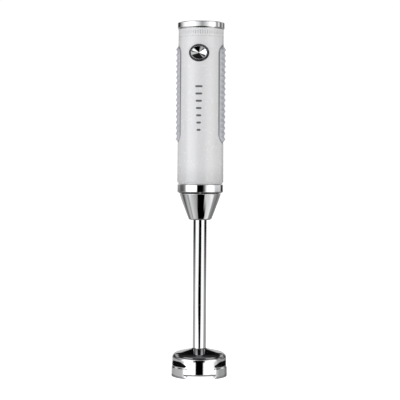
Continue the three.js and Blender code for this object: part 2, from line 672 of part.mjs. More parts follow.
/** The plastic plate that closes the can, with an opening for the commutator. */
const endPlate = () => turned(
  [[9, CAN_HEIGHT - 3], [18.4, CAN_HEIGHT - 3], [18.4, CAN_HEIGHT + 0.3], [19.8, CAN_HEIGHT + 0.3],
    [19.8, CAN_HEIGHT + 3], [9, CAN_HEIGHT + 3]],
  COARSE,
);

const BRUSH_LEVEL = 63.2;

function brushHolder(side) {
  const outer = box([-3.2, 3.2], [-18.2, -8], [BRUSH_LEVEL - 3.6, BRUSH_LEVEL + 3.6]);
  const inner = box([-2.5, 2.5], [-17.4, -5], [BRUSH_LEVEL - 2.9, BRUSH_LEVEL + 2.9]);
  return cut(outer, inner).rotateZ((side * Math.PI) / 2);
}

const brush = (side) =>
  box([-2.2, 2.2], [-14.5, -6.1], [BRUSH_LEVEL - 2.6, BRUSH_LEVEL + 2.6]).rotateZ((side * Math.PI) / 2);

/** The bridge over the brush gear that holds the upper bearing. */
function upperBracket() {
  const ring = sleeve(5.3, 7.4, 70.0, 75.4, SMALL);
  const beam = box([-4.5, 4.5], [-17.5, 17.5], [70.0, 72.4]);
  const feet = [1, -1].map((side) => box([-4.5, 4.5], span(side, 14.8, 17.5), [59.3, 72]));
  return cut(join(beam, ring, ...feet), bar(5.3, 60, 80));
}

const bearing = (low, high) => sleeve(MOTOR_SHAFT_RADIUS + SLIP, 5.0, low, high, SMALL);

function fan() {
  const bore = bar(MOTOR_SHAFT_RADIUS + SLIP, 70, 90);
  const disc = bar(17.2, 77.2, 78.4, COARSE);
  const hub = bar(5, 77.2, 86);
  const vane = box([-0.6, 0.6], [-16.8, -4], [78, 84.5]).rotateZ(rad(20)).translate(3, 0, 0);
  return cut(join(disc, hub, ...around(vane, FAN_BLADES)), bore);
}

/** The motor's half of the dog clutch, pushed on the shaft's lower end. */
function driveCoupling() {
  const local = (level) => level - MOTOR_BOTTOM;
  const dog = sector(DOGS.inner, DOGS.outer, DOG_HALF, local(DOGS.low + 0.4), local(221));
  const hub = bar(8.2, local(220), local(231));
  const nose = bar(3.3, local(214.4), local(221));
  return cut(join(hub, nose, ...around(dog, 3)), bar(MOTOR_SHAFT_RADIUS + SLIP, local(216), local(240)));
}

piece(motor, "motor_can", motorCan(), STEEL);
piece(motor, "magnet_right", magnet(1), MAGNET);
piece(motor, "magnet_left", magnet(-1), MAGNET);
piece(motor, "armature_core", armatureCore(), LAMINATION);
piece(motor, "armature_winding", armatureWinding(), COPPER);
piece(motor, "commutator", commutator(), COPPER);
piece(motor, "motor_shaft", bar(MOTOR_SHAFT_RADIUS, 216.3 - MOTOR_BOTTOM, 87), STEEL);
piece(motor, "motor_end_plate", endPlate(), BLACK_PLASTIC);
piece(motor, "brush_holder_right", brushHolder(1), BRONZE);
piece(motor, "brush_holder_left", brushHolder(-1), BRONZE);
piece(motor, "brush_right", brush(1), CARBON);
piece(motor, "brush_left", brush(-1), CARBON);
piece(motor, "upper_bracket", upperBracket(), STEEL);
piece(motor, "lower_bearing", bearing(-4.2, 1.0), BRONZE);
piece(motor, "upper_bearing", bearing(70.3, 75.2), BRONZE);
piece(motor, "fan", fan(), GREY_PLASTIC);
piece(motor, "drive_coupling", driveCoupling(), BLACK_PLASTIC);
piece(motor, "lower_damper", sleeve(8.2, 20.2, -5.1, -0.3, COARSE), RUBBER);
piece(motor, "upper_damper", sleeve(CAN_RADIUS + 0.3, 22.2, 48, 54, COARSE), RUBBER);

export default blender;
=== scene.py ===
"""Looks for the immersion blender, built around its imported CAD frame.

Outlines are in millimetres, as (radius, height) from the blender's axis and feet. MM turns them into metres.
A corner may carry a third number, the radius of the arc that rounds it. The button faces -Y.
"""

import json
import math

import bmesh
import bpy
from mathutils import Matrix, Vector
from mathutils.bvhtree import BVHTree


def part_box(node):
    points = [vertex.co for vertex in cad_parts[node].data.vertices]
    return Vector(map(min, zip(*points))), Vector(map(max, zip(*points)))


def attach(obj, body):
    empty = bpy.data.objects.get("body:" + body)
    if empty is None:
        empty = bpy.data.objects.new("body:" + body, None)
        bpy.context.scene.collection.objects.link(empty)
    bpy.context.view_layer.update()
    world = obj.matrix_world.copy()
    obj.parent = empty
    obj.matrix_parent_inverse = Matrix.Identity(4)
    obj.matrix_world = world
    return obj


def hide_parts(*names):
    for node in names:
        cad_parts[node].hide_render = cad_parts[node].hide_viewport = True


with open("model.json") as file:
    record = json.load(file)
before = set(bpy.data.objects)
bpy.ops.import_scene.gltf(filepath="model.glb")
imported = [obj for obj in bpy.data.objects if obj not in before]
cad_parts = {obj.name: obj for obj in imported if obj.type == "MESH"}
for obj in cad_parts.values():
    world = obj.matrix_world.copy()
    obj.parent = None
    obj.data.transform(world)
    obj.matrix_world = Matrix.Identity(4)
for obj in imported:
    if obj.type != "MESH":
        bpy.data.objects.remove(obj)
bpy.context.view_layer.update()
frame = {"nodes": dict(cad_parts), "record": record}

MM = 0.001
WELD = 2e-6  # metres: points closer than this are one
SUPPORT = 0.06  # how far from its ends a long side of an outline gets its extra points, in millimetres
ROUND = 192  # facets of a large turned piece
FINE = 96  # facets of a small one


def reach(node):
    """A round node's outer radius and its lowest and highest level, in millimetres."""
    low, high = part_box(node)
    return high.y / MM, low.z / MM, high.z / MM


BELL_RADIUS, _, BELL_TOP = reach("bell")
TUBE_RADIUS, TUBE_LOW, TUBE_HIGH = reach("shaft_tube")
CONE_RADIUS, CONE_LOW, CONE_HIGH = reach("leg_cone")
COLLAR_RADIUS, COLLAR_LOW, COLLAR_HIGH = reach("collar")
HOUSING_RADIUS, HOUSING_LOW, HOUSING_HIGH = reach("housing_tube")
VENT_RADIUS, VENT_LOW, VENT_HIGH = reach("vent_ring")
CAP_RADIUS, CAP_SPIGOT, CAP_HIGH = reach("top_cap")
CAP_LOW = CAP_SPIGOT + 2.0
BELL_TURN = math.radians(8)  # from the button's side to the middle of a plain wall
BEZEL_LOW, BEZEL_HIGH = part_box("button_bezel")
BUTTON_LEVEL = (BEZEL_LOW.z + BEZEL_HIGH.z) / 2 / MM


# ---- mesh helpers


def rounded(corners, steps=6):
    """The closed outline through the corners, with an arc in place of each corner that has a radius."""
    outline = []
    for i, corner in enumerate(corners):
        here = Vector(corner[:2])
        radius = corner[2] if len(corner) > 2 else 0
        if not radius:
            outline.append(here)
            continue
        back = (Vector(corners[i - 1][:2]) - here).normalized()
        ahead = (Vector(corners[(i + 1) % len(corners)][:2]) - here).normalized()
        half = back.angle(ahead) / 2
        middle = here + (back + ahead).normalized() * radius / math.sin(half)
        first = (here + back * radius / math.tan(half) - middle).normalized()
        last = (here + ahead * radius / math.tan(half) - middle).normalized()
        outline += [middle + first.slerp(last, k / steps) * radius for k in range(steps + 1)]
    return supported(outline)


def supported(outline):
    """Adds a point near both ends of every long side, so that the side is shaded as flat as it is."""
    points = []
    for i, here in enumerate(outline):
        ahead = outline[(i + 1) % len(outline)]
        points.append(here)
        length = (ahead - here).length
        if length > 1 and (here.x or ahead.x):
            points += [here.lerp(ahead, SUPPORT / length), here.lerp(ahead, 1 - SUPPORT / length)]
    return points


def bezier(a, b, c, d, steps):
    """Points of a cubic curve, ends included."""
    corners = [Vector(p) for p in (a, b, c, d)]
    weights = [(1 - t, t) for t in (k / steps for k in range(steps + 1))]
    return [
        corners[0] * s**3 + corners[1] * 3 * s * s * t + corners[2] * 3 * s * t * t + corners[3] * t**3
        for s, t in weights
    ]


def smoothstep(low, high, value):
    t = min(1, max(0, (value - low) / (high - low)))
    return t * t * (3 - 2 * t)


def shade(mesh, sharp=35):
    mesh.shade_smooth()
    mesh.set_sharp_from_angle(angle=math.radians(sharp))


def mesh_object(name, points, faces, sharp=35):
    """A smooth-shaded object from points in millimetres. Points that meet are joined."""
    mesh = bpy.data.meshes.new(name)
    mesh.from_pydata([Vector(p) * MM for p in points], [], faces)
    shape = bmesh.new()
    shape.from_mesh(mesh)
    bmesh.ops.remove_doubles(shape, verts=shape.verts, dist=WELD)
    bmesh.ops.recalc_face_normals(shape, faces=shape.faces)
    shape.to_mesh(mesh)
    shape.free()
    shade(mesh, sharp)
    obj = bpy.data.objects.new(name, mesh)
    bpy.context.scene.collection.objects.link(obj)
    return obj


def swept(name, sections, sharp=35):
    """A closed skin through a row of sections that have the same number of points."""
    count = len(sections[0])
    points = [point for section in sections for point in section]
    faces = [tuple(range(count)), tuple(range(len(points) - count, len(points)))]
    for i in range(len(sections) - 1):
        for j in range(count):
            k = (j + 1) % count
            faces.append((i * count + j, i * count + k, (i + 1) * count + k, (i + 1) * count + j))
    return mesh_object(name, points, faces, sharp)


def turned_place(radius, height, angle):
    return radius * math.cos(angle), radius * math.sin(angle), height


def lathe(name, corners, facets=ROUND, steps=6, place=turned_place):
    """A turned piece. Its outline is closed, or starts and ends on the axis."""
    outline = rounded(corners, steps)
    count = len(outline)
    points = [place(r, z, 2 * math.pi * i / facets) for i in range(facets) for r, z in outline]
    faces = []
    for i in range(facets):
        here, there = i * count, (i + 1) % facets * count
        for j in range(count):
            k = (j + 1) % count
            faces.append((here + j, there + j, there + k, here + k))
    return mesh_object(name, points, faces)


WALL, HOLE, PINCHED = "wall", "hole", "pinched"


def shell(name, outer, inner, state, closed=True, sharp=35):
    """A walled skin between two matching grids of points. state(row, column) says what a cell is: WALL,
    HOLE, or PINCHED where it has no height because its two rows meet."""
    rows, columns = len(outer), len(outer[0])
    cells = columns if closed else columns - 1
    points = [point for grid in (outer, inner) for row in grid for point in row]

    def index(side, row, column):
        return (side * rows + row) * columns + column % columns

    def cell(row, column):
        outside = not 0 <= row < rows - 1 or (not closed and not 0 <= column < cells)
        return HOLE if outside else state(row, column % columns)

    def is_edge(a, b):
        return {a, b} == {WALL, HOLE}

    faces = []
    for row in range(rows):
        for column in range(cells):
            ring = [(row, column), (row, column + 1), (row + 1, column + 1), (row + 1, column)]
            if cell(row, column) == WALL:
                faces += [[index(side, *corner) for corner in ring] for side in (0, 1)]
            if is_edge(cell(row - 1, column), cell(row, column)):
                faces.append([index(0, *ring[0]), index(0, *ring[1]), index(1, *ring[1]), index(1, *ring[0])])
    for row in range(rows - 1):
        for column in range(columns):
            if is_edge(cell(row, column - 1), cell(row, column)):
                ends = (row, column), (row + 1, column)
                faces.append([index(0, *ends[0]), index(0, *ends[1]), index(1, *ends[1]), index(1, *ends[0])])
    return mesh_object(name, points, faces, sharp)


def apply_modifiers(obj):
    graph = bpy.context.evaluated_depsgraph_get()
    mesh = bpy.data.meshes.new_from_object(obj.evaluated_get(graph))
    obj.modifiers.clear()
    obj.data = mesh
    return obj


def combine(obj, operation, tools, sharp=35):
    for tool in tools:
        boolean = obj.modifiers.new("combine", "BOOLEAN")
        boolean.operation = operation
        boolean.solver = "EXACT"
        boolean.object = tool
    apply_modifiers(obj)
    for tool in tools:
        bpy.data.objects.remove(tool)
    shade(obj.data, sharp)
    return obj


def merge(name, objects):
    """One object from several that don't touch."""
    shape = bmesh.new()
    for obj in objects:
        shape.from_mesh(obj.data)
        bpy.data.objects.remove(obj)
    mesh = bpy.data.meshes.new(name)
    shape.to_mesh(mesh)
    shape.free()
    shade(mesh)
    merged = bpy.data.objects.new(name, mesh)
    bpy.context.scene.collection.objects.link(merged)
    return merged


def cut(obj, *tools):
    return combine(obj, "DIFFERENCE", tools)


def join(obj, *tools):
    return combine(obj, "UNION", tools)


def soften(obj, width, segments=3, angle=50):
    """Rounds the sharp edges."""
    bevel = obj.modifiers.new("soften", "BEVEL")
    bevel.width = width * MM
    bevel.segments = segments
    bevel.limit_method = "ANGLE"
    bevel.angle_limit = math.radians(angle)
    bevel.harden_normals = True
    return apply_modifiers(obj)


def polish(obj, clean):
    """Gives a cut surface the shading of the clean one before the cut, so that nothing ripples in it."""
    source = clean.data
    source.calc_loop_triangles()
    triangles = [tuple(t.vertices) for t in source.loop_triangles]
    corners = [[source.corner_normals[loop].vector.copy() for loop in t.loops] for t in source.loop_triangles]
    spots = [v.co.copy() for v in source.vertices]
    tree = BVHTree.FromPolygons(spots, triangles)
    near = 1e-4  # metres from the clean surface
    nudge = 0.05  # how far towards the face's centre to look for it, as a share of the way
    same_way = math.cos(math.radians(15))
    mesh = obj.data
    normals = [normal.vector.copy() for normal in mesh.corner_normals]
    for face in mesh.polygons:
        for loop in face.loop_indices:
            spot = mesh.vertices[mesh.loops[loop].vertex_index].co
            _, facing, found, distance = tree.find_nearest(spot.lerp(face.center, nudge))
            if found is None or distance > near or facing.dot(face.normal) < same_way:
                continue
            a, b, c = (spots[v] for v in triangles[found])
            area = (b - a).cross(c - a)
            size = area.dot(area)
            weights = [(c - b).cross(spot - b), (a - c).cross(spot - c), (b - a).cross(spot - a)]
            blended = Vector()
            for weight, normal in zip(weights, corners[found]):
                blended += normal * min(1, max(0, weight.dot(area) / size))
            normals[loop] = blended.normalized()
    mesh.normals_split_custom_set(normals)
    bpy.data.objects.remove(clean)
    return obj


def sector(name, inner, outer, middle, half, low, high, steps=12):
    """A block between two radii and two levels. It reaches half to either side of its middle, in degrees
    from -Y."""
    angles = [math.radians(middle - half + 2 * half * k / steps - 90) for k in range(steps + 1)]
    skins = [
        [[turned_place(radius, level, angle) for angle in angles] for level in (low, high)]
        for radius in (outer, inner)
    ]
    return shell(name, *skins, lambda row, column: WALL, closed=False)


def pin(name, radius, low, high, facets=FINE):
    return lathe(name, [(0, low), (radius, low), (radius, high), (0, high)], facets)


def moved(obj, *steps):
    for step in steps:
        obj.data.transform(step)
    return obj


def shift(x, y, z):
    return Matrix.Translation(Vector((x, y, z)) * MM)


TO_FRONT = Matrix.Rotation(math.pi / 2, 4, "X")  # a piece drawn along +Z turns to stand out of the -Y side


def fit(obj, body, slot, *nodes, look=None):
    """Gives a piece its body and its slot's look or another one, and hides the CAD nodes that it stands for.
    """
    obj.data.materials.clear()
    obj.data.materials.append(look or LOOKS[slot])
    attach(obj, body)
    if nodes:
        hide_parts(*nodes)
    return obj


# ---- materials


class Tree:
    """A node tree, with the nodes that both the materials and the world are made of."""

    def __init__(self, tree):
        self.tree = tree

    def link(self, output, target):
        self.tree.links.new(output, target)

    def add(self, kind, source=None, target="Vector", **values):
        """A node with its values. It may be fed by a source."""
        node = self.tree.nodes.new(kind)
        for name, value in values.items():
            node.inputs[name.replace("_", " ")].default_value = value
        if source is not None:
            self.link(source, node.inputs[target])
        return node

    def ranged(self, value, low, high, start=0.3, end=0.7):
        limits = {"From Min": start, "From Max": end, "To Min": low, "To Max": high}
        return self.add("ShaderNodeMapRange", value, "Value", **limits).outputs["Result"]

    def ramp(self, value, stops):
        """Colour that follows a value between stops of (position, colour)."""
        ramp = self.add("ShaderNodeValToRGB", value, "Fac")
        elements = ramp.color_ramp.elements
        while len(elements) < len(stops):
            elements.new(1)
        for element, (position, colour) in zip(elements, stops):
            element.position = position
            element.color = (*colour, 1)
        return ramp.outputs["Color"]


class Nodes(Tree):
    """A material, with the few nodes that these looks are made of."""

    def __init__(self, name, colour, roughness, metallic=0.0, **sockets):
        self.material = bpy.data.materials.new(name)
        self.material.use_nodes = True
        super().__init__(self.material.node_tree)
        self.shader = self.tree.nodes["Principled BSDF"]
        self.set("Base Color", (*colour, 1))
        self.set("Roughness", roughness)
        self.set("Metallic", metallic)
        for socket, value in sockets.items():
            self.set(socket.replace("_", " "), value)
        self.place = self.add("ShaderNodeTexCoord").outputs["Object"]
        self.bumps = None

    def set(self, socket, value):
        self.shader.inputs[socket].default_value = value

    def stretched(self, scale):
        return self.add("ShaderNodeMapping", self.place, Scale=scale).outputs["Vector"]

    def noise(self, scale, stretch=(1, 1, 1), detail=4.0, rough=0.55):
        values = {"Scale": scale, "Detail": detail, "Roughness": rough}
        return self.add("ShaderNodeTexNoise", self.stretched(stretch), **values).outputs["Fac"]

    def cells(self, scale, stretch=(1, 1, 1)):
        return self.add("ShaderNodeTexVoronoi", self.stretched(stretch), Scale=scale).outputs["Distance"]

    def bands(self, scale, direction, distortion=0.0):
        wave = self.add("ShaderNodeTexWave", self.place, Scale=scale, Distortion=distortion)
        wave.bands_direction = direction
        return wave.outputs["Fac"]

    def height(self):
        return self.add("ShaderNodeSeparateXYZ", self.place).outputs["Z"]

    def plus(self, first, second):
        total = self.add("ShaderNodeMath", first, 0)
        self.link(second, total.inputs[1])
        return total.outputs[0]

    def roughness(self, value, low, high):
        self.link(self.ranged(value, low, high), self.shader.inputs["Roughness"])

    def colours(self, value, *stops):
        self.link(self.ramp(value, stops), self.shader.inputs["Base Color"])

    def two_tone(self, value, dark, light):
        self.colours(value, (0.3, dark), (0.7, light))

    def bump(self, value, depth):
        """Relief of a depth in millimetres, on top of any that is there already."""
        bump = self.add("ShaderNodeBump", value, "Height", Strength=1, Distance=depth * MM)
        if self.bumps:
            self.link(self.bumps, bump.inputs["Normal"])
        self.bumps = bump.outputs["Normal"]
        self.link(self.bumps, self.shader.inputs["Normal"])


def shades(colour, spread):
    """A darker and a lighter version of a colour."""
    return [tuple(min(1, channel * (1 + way * spread)) for channel in colour) for way in (-1, 1)]


def bright_metal(name, colour, smooth, worn, stretch):
    """Plated or polished metal: nearly a mirror, with faint polishing lines and finger haze."""
    nodes = Nodes(name, colour, smooth, metallic=1.0)
    lines = nodes.noise(900, stretch, detail=3)
    haze = nodes.noise(45, detail=5)
    nodes.roughness(haze, smooth, worn)
    nodes.two_tone(haze, *shades(colour, 0.015))
    nodes.bump(lines, 0.0002)
    return nodes.material


def moulded(name, colour, roughness, grain, grain_size, spread=0.06):
    """Moulded plastic or rubber with a fine grain."""
    nodes = Nodes(name, colour, roughness[0])
    nodes.two_tone(nodes.noise(60, detail=3), *shades(colour, spread))
    nodes.roughness(nodes.noise(260, detail=4), *roughness)
    nodes.bump(nodes.noise(grain_size, detail=5, rough=0.6), grain)
    return nodes.material


def machined(name, colour, roughness, stretch, metallic=1.0, grain=0.004):
    """Bare metal with tool marks along one direction."""
    nodes = Nodes(name, colour, roughness[0], metallic=metallic)
    marks = nodes.noise(700, stretch, detail=4)
    nodes.two_tone(nodes.noise(80), *shades(colour, 0.1))
    nodes.roughness(marks, *roughness)
    nodes.bump(marks, grain)
    return nodes.material


def gloss_white():
    """Cool-white glossy plastic with the faint ripple of a moulded wall under a clear surface. Its colour
    carries
    painted shade: it is greyer towards its lower end, where the chrome would shade it."""
    colour = (0.715, 0.718, 0.73)
    nodes = Nodes("white_gloss", colour, 0.22, IOR=1.6, Coat_Weight=0.8, Coat_Roughness=0.12)
    # painted shade: the colour darkens over the lowest 23 mm of the housing
    painted_shade = nodes.ranged(nodes.height(), 0, 0.8, (HOUSING_LOW + 1) * MM, (HOUSING_LOW + 24) * MM)
    cloud = nodes.ranged(nodes.noise(22, detail=2), 0, 0.2)
    nodes.colours(nodes.plus(painted_shade, cloud), (0, tuple(0.76 * c for c in colour)), (0.8, colour), (1, colour))
    nodes.roughness(nodes.noise(320, detail=5), 0.2, 0.3)
    nodes.bump(nodes.noise(140, detail=2), 0.012)
    nodes.bump(nodes.noise(2200, detail=3), 0.0015)
    return nodes.material


def patterned(name, colour, smooth, pattern, stops, roughness, depth, **sockets):
    """A look whose colour and relief follow one pattern. The pattern is a method of Nodes and its values."""
    nodes = Nodes(name, colour, smooth, **sockets)
    kind, *values = pattern
    marks = getattr(nodes, kind)(*values)
    scale, low, high = roughness
    nodes.colours(marks, *stops)
    nodes.roughness(nodes.noise(scale), low, high)
    nodes.bump(marks, depth)
    return nodes.material


def silver_satin():
    """Satin silver paint: fine flakes in a soft sheen."""
    colour = (0.58, 0.59, 0.635)
    dark, light = shades(colour, 0.14)
    stops = (0.1, light), (0.75, dark)
    grain = 300, 0.38, 0.52
    return patterned("silver_satin", colour, 0.42, ("cells", 3800), stops, grain, 0.004, metallic=0.3)


ACROSS = (0.06, 0.06, 1)  # marks that run round the blender

LOOKS = {
    "mirror_steel": bright_metal("mirror_steel", (0.9, 0.905, 0.91), 0.025, 0.06, ACROSS),
    "chrome_trim": bright_metal("chrome_trim", (0.93, 0.935, 0.945), 0.02, 0.05, (1, 1, 1)),
    "blade_steel": machined("blade_steel", (0.72, 0.73, 0.74), (0.14, 0.3), (0.08, 1, 1), grain=0.006),
    "steel": machined("steel", (0.55, 0.56, 0.58), (0.25, 0.42), ACROSS),
    "white_gloss": gloss_white(),
    "silver_satin": silver_satin(),
    "grey_plastic": moulded("grey_plastic", (0.23, 0.235, 0.245), (0.38, 0.52), 0.012, 1500),
    "black_plastic": moulded("black_plastic", (0.018, 0.018, 0.02), (0.35, 0.52), 0.012, 1500, spread=0.2),
    "rubber": moulded("rubber", (0.022, 0.022, 0.023), (0.62, 0.82), 0.02, 1100, spread=0.25),
    # sintered, with pores
    "bronze": patterned(
        "bronze", (0.42, 0.24, 0.1), 0.45, ("cells", 2600),
        ((0.05, (0.2, 0.1, 0.04)), (0.3, (0.5, 0.3, 0.14))), (400, 0.38, 0.58), 0.01, metallic=1.0,
    ),
    # enamelled wire laid in turns
    "copper": patterned(
        "copper", (0.55, 0.2, 0.08), 0.3, ("bands", 900, "DIAGONAL", 1.5),
        ((0.15, (0.16, 0.05, 0.02)), (0.6, (0.62, 0.25, 0.1))), (500, 0.22, 0.38), 0.12,
        metallic=1.0, Coat_Weight=0.5,
    ),
    # stacked sheets of electrical steel
    "laminations": patterned(
        "laminations", (0.2, 0.21, 0.23), 0.4, ("bands", 1000, "Z", 0.2),
        ((0.1, (0.05, 0.05, 0.055)), (0.5, (0.26, 0.27, 0.29))), (400, 0.3, 0.5), 0.05, metallic=0.9,
    ),
    "magnet": moulded("magnet", (0.035, 0.036, 0.04), (0.5, 0.7), 0.03, 900, spread=0.25),
    "carbon": moulded("carbon", (0.02, 0.02, 0.021), (0.55, 0.75), 0.02, 1800, spread=0.3),
    # green solder mask over faint tracks
    "board": patterned(
        "board", (0.03, 0.16, 0.06), 0.35, ("cells", 260, (1, 1, 0.35)),
        ((0.12, (0.07, 0.26, 0.1)), (0.16, (0.02, 0.12, 0.045))), (500, 0.28, 0.42), 0.02, Coat_Weight=0.4,
    ),
}


# ---- bell

BELL_WALL = 1.1
FLARE = 0.85
WAIST = BELL_RADIUS - FLARE
SHOULDER_LEVEL = 20.0
ROOF_START = SHOULDER_LEVEL + 0.9  # a little above the wall, on the shoulder
NOTCH = 3.5
ROOF_OUTER, ROOF_INNER = (24.0, 26.3), (9.4, 29.7)
TUBE_HOLE = TUBE_RADIUS + 0.08
FEET = math.radians(25), math.radians(35)  # where the foot's step comes in, from the middle of a plain wall
SCALLOP = math.radians(27), math.radians(35)  # and where the scallop ends
STEP_LOW, STEP_HIGH, STEP_TURN = 9.9, 11.3, 0.12  # the step's slope, and half the height of its arcs
STEP_START = 9.7  # where the close rows begin
WINDOW_LEVEL = 15.1
WINDOW_HALF = 14.4
WINDOW_TIP, WINDOW_SILL = -0.9, -3.1  # levels of its pointed ends and of its sill, from WINDOW_LEVEL
WINDOW_STEPS = 40
PLAIN_STEPS = 24
FOOT_ROWS = 6
STEP_ROWS = 12
LOW_ROWS = FOOT_ROWS + STEP_ROWS
HIGH_ROWS = 2


def from_plain(angle):
    """How far round an angle is from the middle of the nearest plain wall."""
    third = 2 * math.pi / 3
    return abs((angle + math.pi / 2 - BELL_TURN + third / 2) % third - third / 2)


def step_out(level, angle):
    """How far the foot stands out from the wall. A short slope under each window leads back to the wall."""
    width = smoothstep(*FEET, from_plain(angle))
    low, high, turn = STEP_LOW, STEP_HIGH, STEP_TURN
    if level < low + turn:
        depth = max(0, level - low + turn) ** 2 / (4 * turn)
    elif level < high - turn:
        depth = level - low
    else:
        depth = high - low - max(0, high + turn - level) ** 2 / (4 * turn)
    return FLARE * width * (1 - depth / (high - low))


def bell_place(radius, level, angle):
    return turned_place(radius + step_out(level, angle), level, angle)


def roof_points():
    """The outside of the bell above its wall: shoulder, roof and the turned-up edge round the tube."""
    shoulder = bezier((WAIST, SHOULDER_LEVEL), (WAIST, 23.2), (27.3, 25.5), ROOF_OUTER, 12)
    slope = [Vector(ROOF_OUTER).lerp(Vector(ROOF_INNER), k / 8) for k in range(1, 9)]
    lip = bezier(ROOF_INNER, (8.5, 29.9), (7.8, 30.15), (TUBE_HOLE, 30.7), 6)
    return shoulder[1:] + slope + lip[1:]


def window_edges(offset):
    """A window's sill and top, from WINDOW_LEVEL, at a distance along the wall from its centre."""
    away = abs(offset)
    if away >= WINDOW_HALF:
        return WINDOW_TIP, WINDOW_TIP
    nose = min(1, max(0, (away - WINDOW_HALF + 2.0) / 2.0))
    sill = WINDOW_SILL + (WINDOW_TIP - WINDOW_SILL) * (1 - math.sqrt(1 - nose * nose))
    slope = 2.35 - 0.5 * (away - 8.0)
    gap = slope - 2.9
    top = (slope + 2.9 - math.sqrt(gap * gap + 0.35)) / 2
    return sill, max(top, WINDOW_TIP)


def bell_columns():
    """Angles round the bell, closer at the windows' ends, each with its distance from a window's centre."""
    half_turn = math.asin(WINDOW_HALF / WAIST)
    third = 2 * math.pi / 3
    columns = []
    for i in range(3):
        centre = BELL_TURN + math.pi / 3 + i * third - math.pi / 2
        for k in range(-WINDOW_STEPS // 2, WINDOW_STEPS // 2):
            share = 2 * k / WINDOW_STEPS
            offset = WINDOW_HALF * (share + math.sin(math.pi * share / 2)) / 2
            columns.append((centre + math.asin(offset / WAIST), offset))
        for k in range(PLAIN_STEPS):
            share = k / PLAIN_STEPS
            columns.append((centre + half_turn + share * (third - 2 * half_turn), WINDOW_HALF))
    return columns


def rim_level(angle):
    """The rim rises in a scallop under each plain wall, and the feet are under the windows."""
    return NOTCH * (1 - smoothstep(*SCALLOP, from_plain(angle)))


def bell_profile(angle, offset):
    sill, top = (WINDOW_LEVEL + edge for edge in window_edges(offset))
    rim = rim_level(angle)
    levels = [rim + (STEP_START - rim) * k / FOOT_ROWS for k in range(FOOT_ROWS)]
    levels += [STEP_START + (sill - STEP_START) * k / STEP_ROWS for k in range(STEP_ROWS + 1)]
    levels += [top + (SHOULDER_LEVEL - top) * k / HIGH_ROWS for k in range(HIGH_ROWS + 1)]
    return [Vector((WAIST, level)) for level in levels] + roof_points()


def inside_of(profile, wall, least):
    """The profile moved inwards by a wall's thickness, and kept outside a least radius."""
    moved_in = []
    for i, point in enumerate(profile):
        run = profile[min(i + 1, len(profile) - 1)] - profile[max(i - 1, 0)]
        if i == 0:
            run = Vector((0, 1))
        inward = Vector((-run.y, run.x)).normalized() * wall
        moved_in.append(Vector((max(point.x + inward.x, least), point.y + inward.y)))
    return moved_in


def bell():
    columns = bell_columns()
    outer, inner = [], []
    for angle, offset in columns:
        profile = bell_profile(angle, offset)
        outer.append([bell_place(*point, angle) for point in profile])
        inner.append([bell_place(*point, angle) for point in inside_of(profile, BELL_WALL, TUBE_HOLE)])
    outer, inner = (list(zip(*grid)) for grid in (outer, inner))

    def state(row, column):
        if row != LOW_ROWS:
            return WALL
        ends = columns[column][1], columns[(column + 1) % len(columns)][1]
        return HOLE if min(abs(end) for end in ends) < WINDOW_HALF else PINCHED

    body = shell("bell_fine", outer, inner, state, sharp=50)
    soften(body, 0.45)
    levels = [k * SHOULDER_LEVEL / 200 for k in range(201)]
    outline = [(WAIST, level) for level in levels] + [tuple(point) for point in roof_points()]
    clean = lathe("bell_clean", outline + [(TUBE_HOLE, 0)], 384, place=bell_place)
    return polish(body, clean)


def line_inside(obj, look):
    """Gives the faces that look towards the blender's axis, or down from a roof, a look of their own: here a
    rough steel darkened with painted shade.
    """
    obj.data.materials.append(look)
    for face in obj.data.polygons:
        out = Vector((face.center.x, face.center.y, 0))
        if face.normal.dot(out.normalized() + Vector((0, 0, 1))) < -0.3:
            face.material_index = 1


def paint_roof_dark(obj, look):
    """Gives the outside above ROOF_START a darker copy of the chrome, as a painted dark reflection."""
    obj.data.materials.append(look)
    for face in obj.data.polygons:
        if face.material_index == 0 and face.center.z > ROOF_START * MM:
            face.material_index = len(obj.data.materials) - 1


bell_piece = fit(bell(), "leg", "mirror_steel", "bell")
# partly painted shade: the inside is brushed steel, and its near-black colour stands in for the shade inside
# the bell
line_inside(bell_piece, machined("inside_steel_and_painted_shade", (0.1, 0.1, 0.105), (0.3, 0.5), ACROSS))
# painted reflection: the roof's chrome is darkened to show the dark reflection on it
paint_roof_dark(bell_piece, bright_metal("roof_steel_painted_dark", (0.4, 0.4, 0.41), 0.05, 0.1, ACROSS))


# ---- rest of the leg


def leg_tube():
    wall = 1.0
    inner = TUBE_RADIUS - wall
    return lathe(
        "shaft_tube_fine",
        [(inner, TUBE_LOW), (TUBE_RADIUS, TUBE_LOW), (TUBE_RADIUS, TUBE_HIGH), (inner, TUBE_HIGH)],
    )


def leg_cone():
    """The chrome cone. Its sides are very slightly crowned."""
    low, high = Vector((13.35, CONE_LOW + 2.9)), Vector((CONE_RADIUS, CONE_HIGH - 0.5))
    crown, steps = 0.25, 12
    sides = []
    for k in range(steps + 1):
        share = k / steps
        sides.append(low.lerp(high, share) + Vector((4 * crown * share * (1 - share), 0)))
    corner = bezier((10.4, CONE_LOW), (12.0, CONE_LOW), (12.75, CONE_LOW + 1.0), low, 8)
    inside = [
        (CONE_RADIUS - 0.1, CONE_HIGH - 0.15), (CONE_RADIUS - 0.35, CONE_HIGH), (20.9, CONE_HIGH),
        (12.2, CONE_LOW + 3.4), (11.2, CONE_LOW + 1.3), (TUBE_HOLE, CONE_LOW + 1.3),
    ]
    return lathe("leg_cone_fine", [(TUBE_HOLE, CONE_LOW, 0.2)] + corner[:-1] + sides + inside)


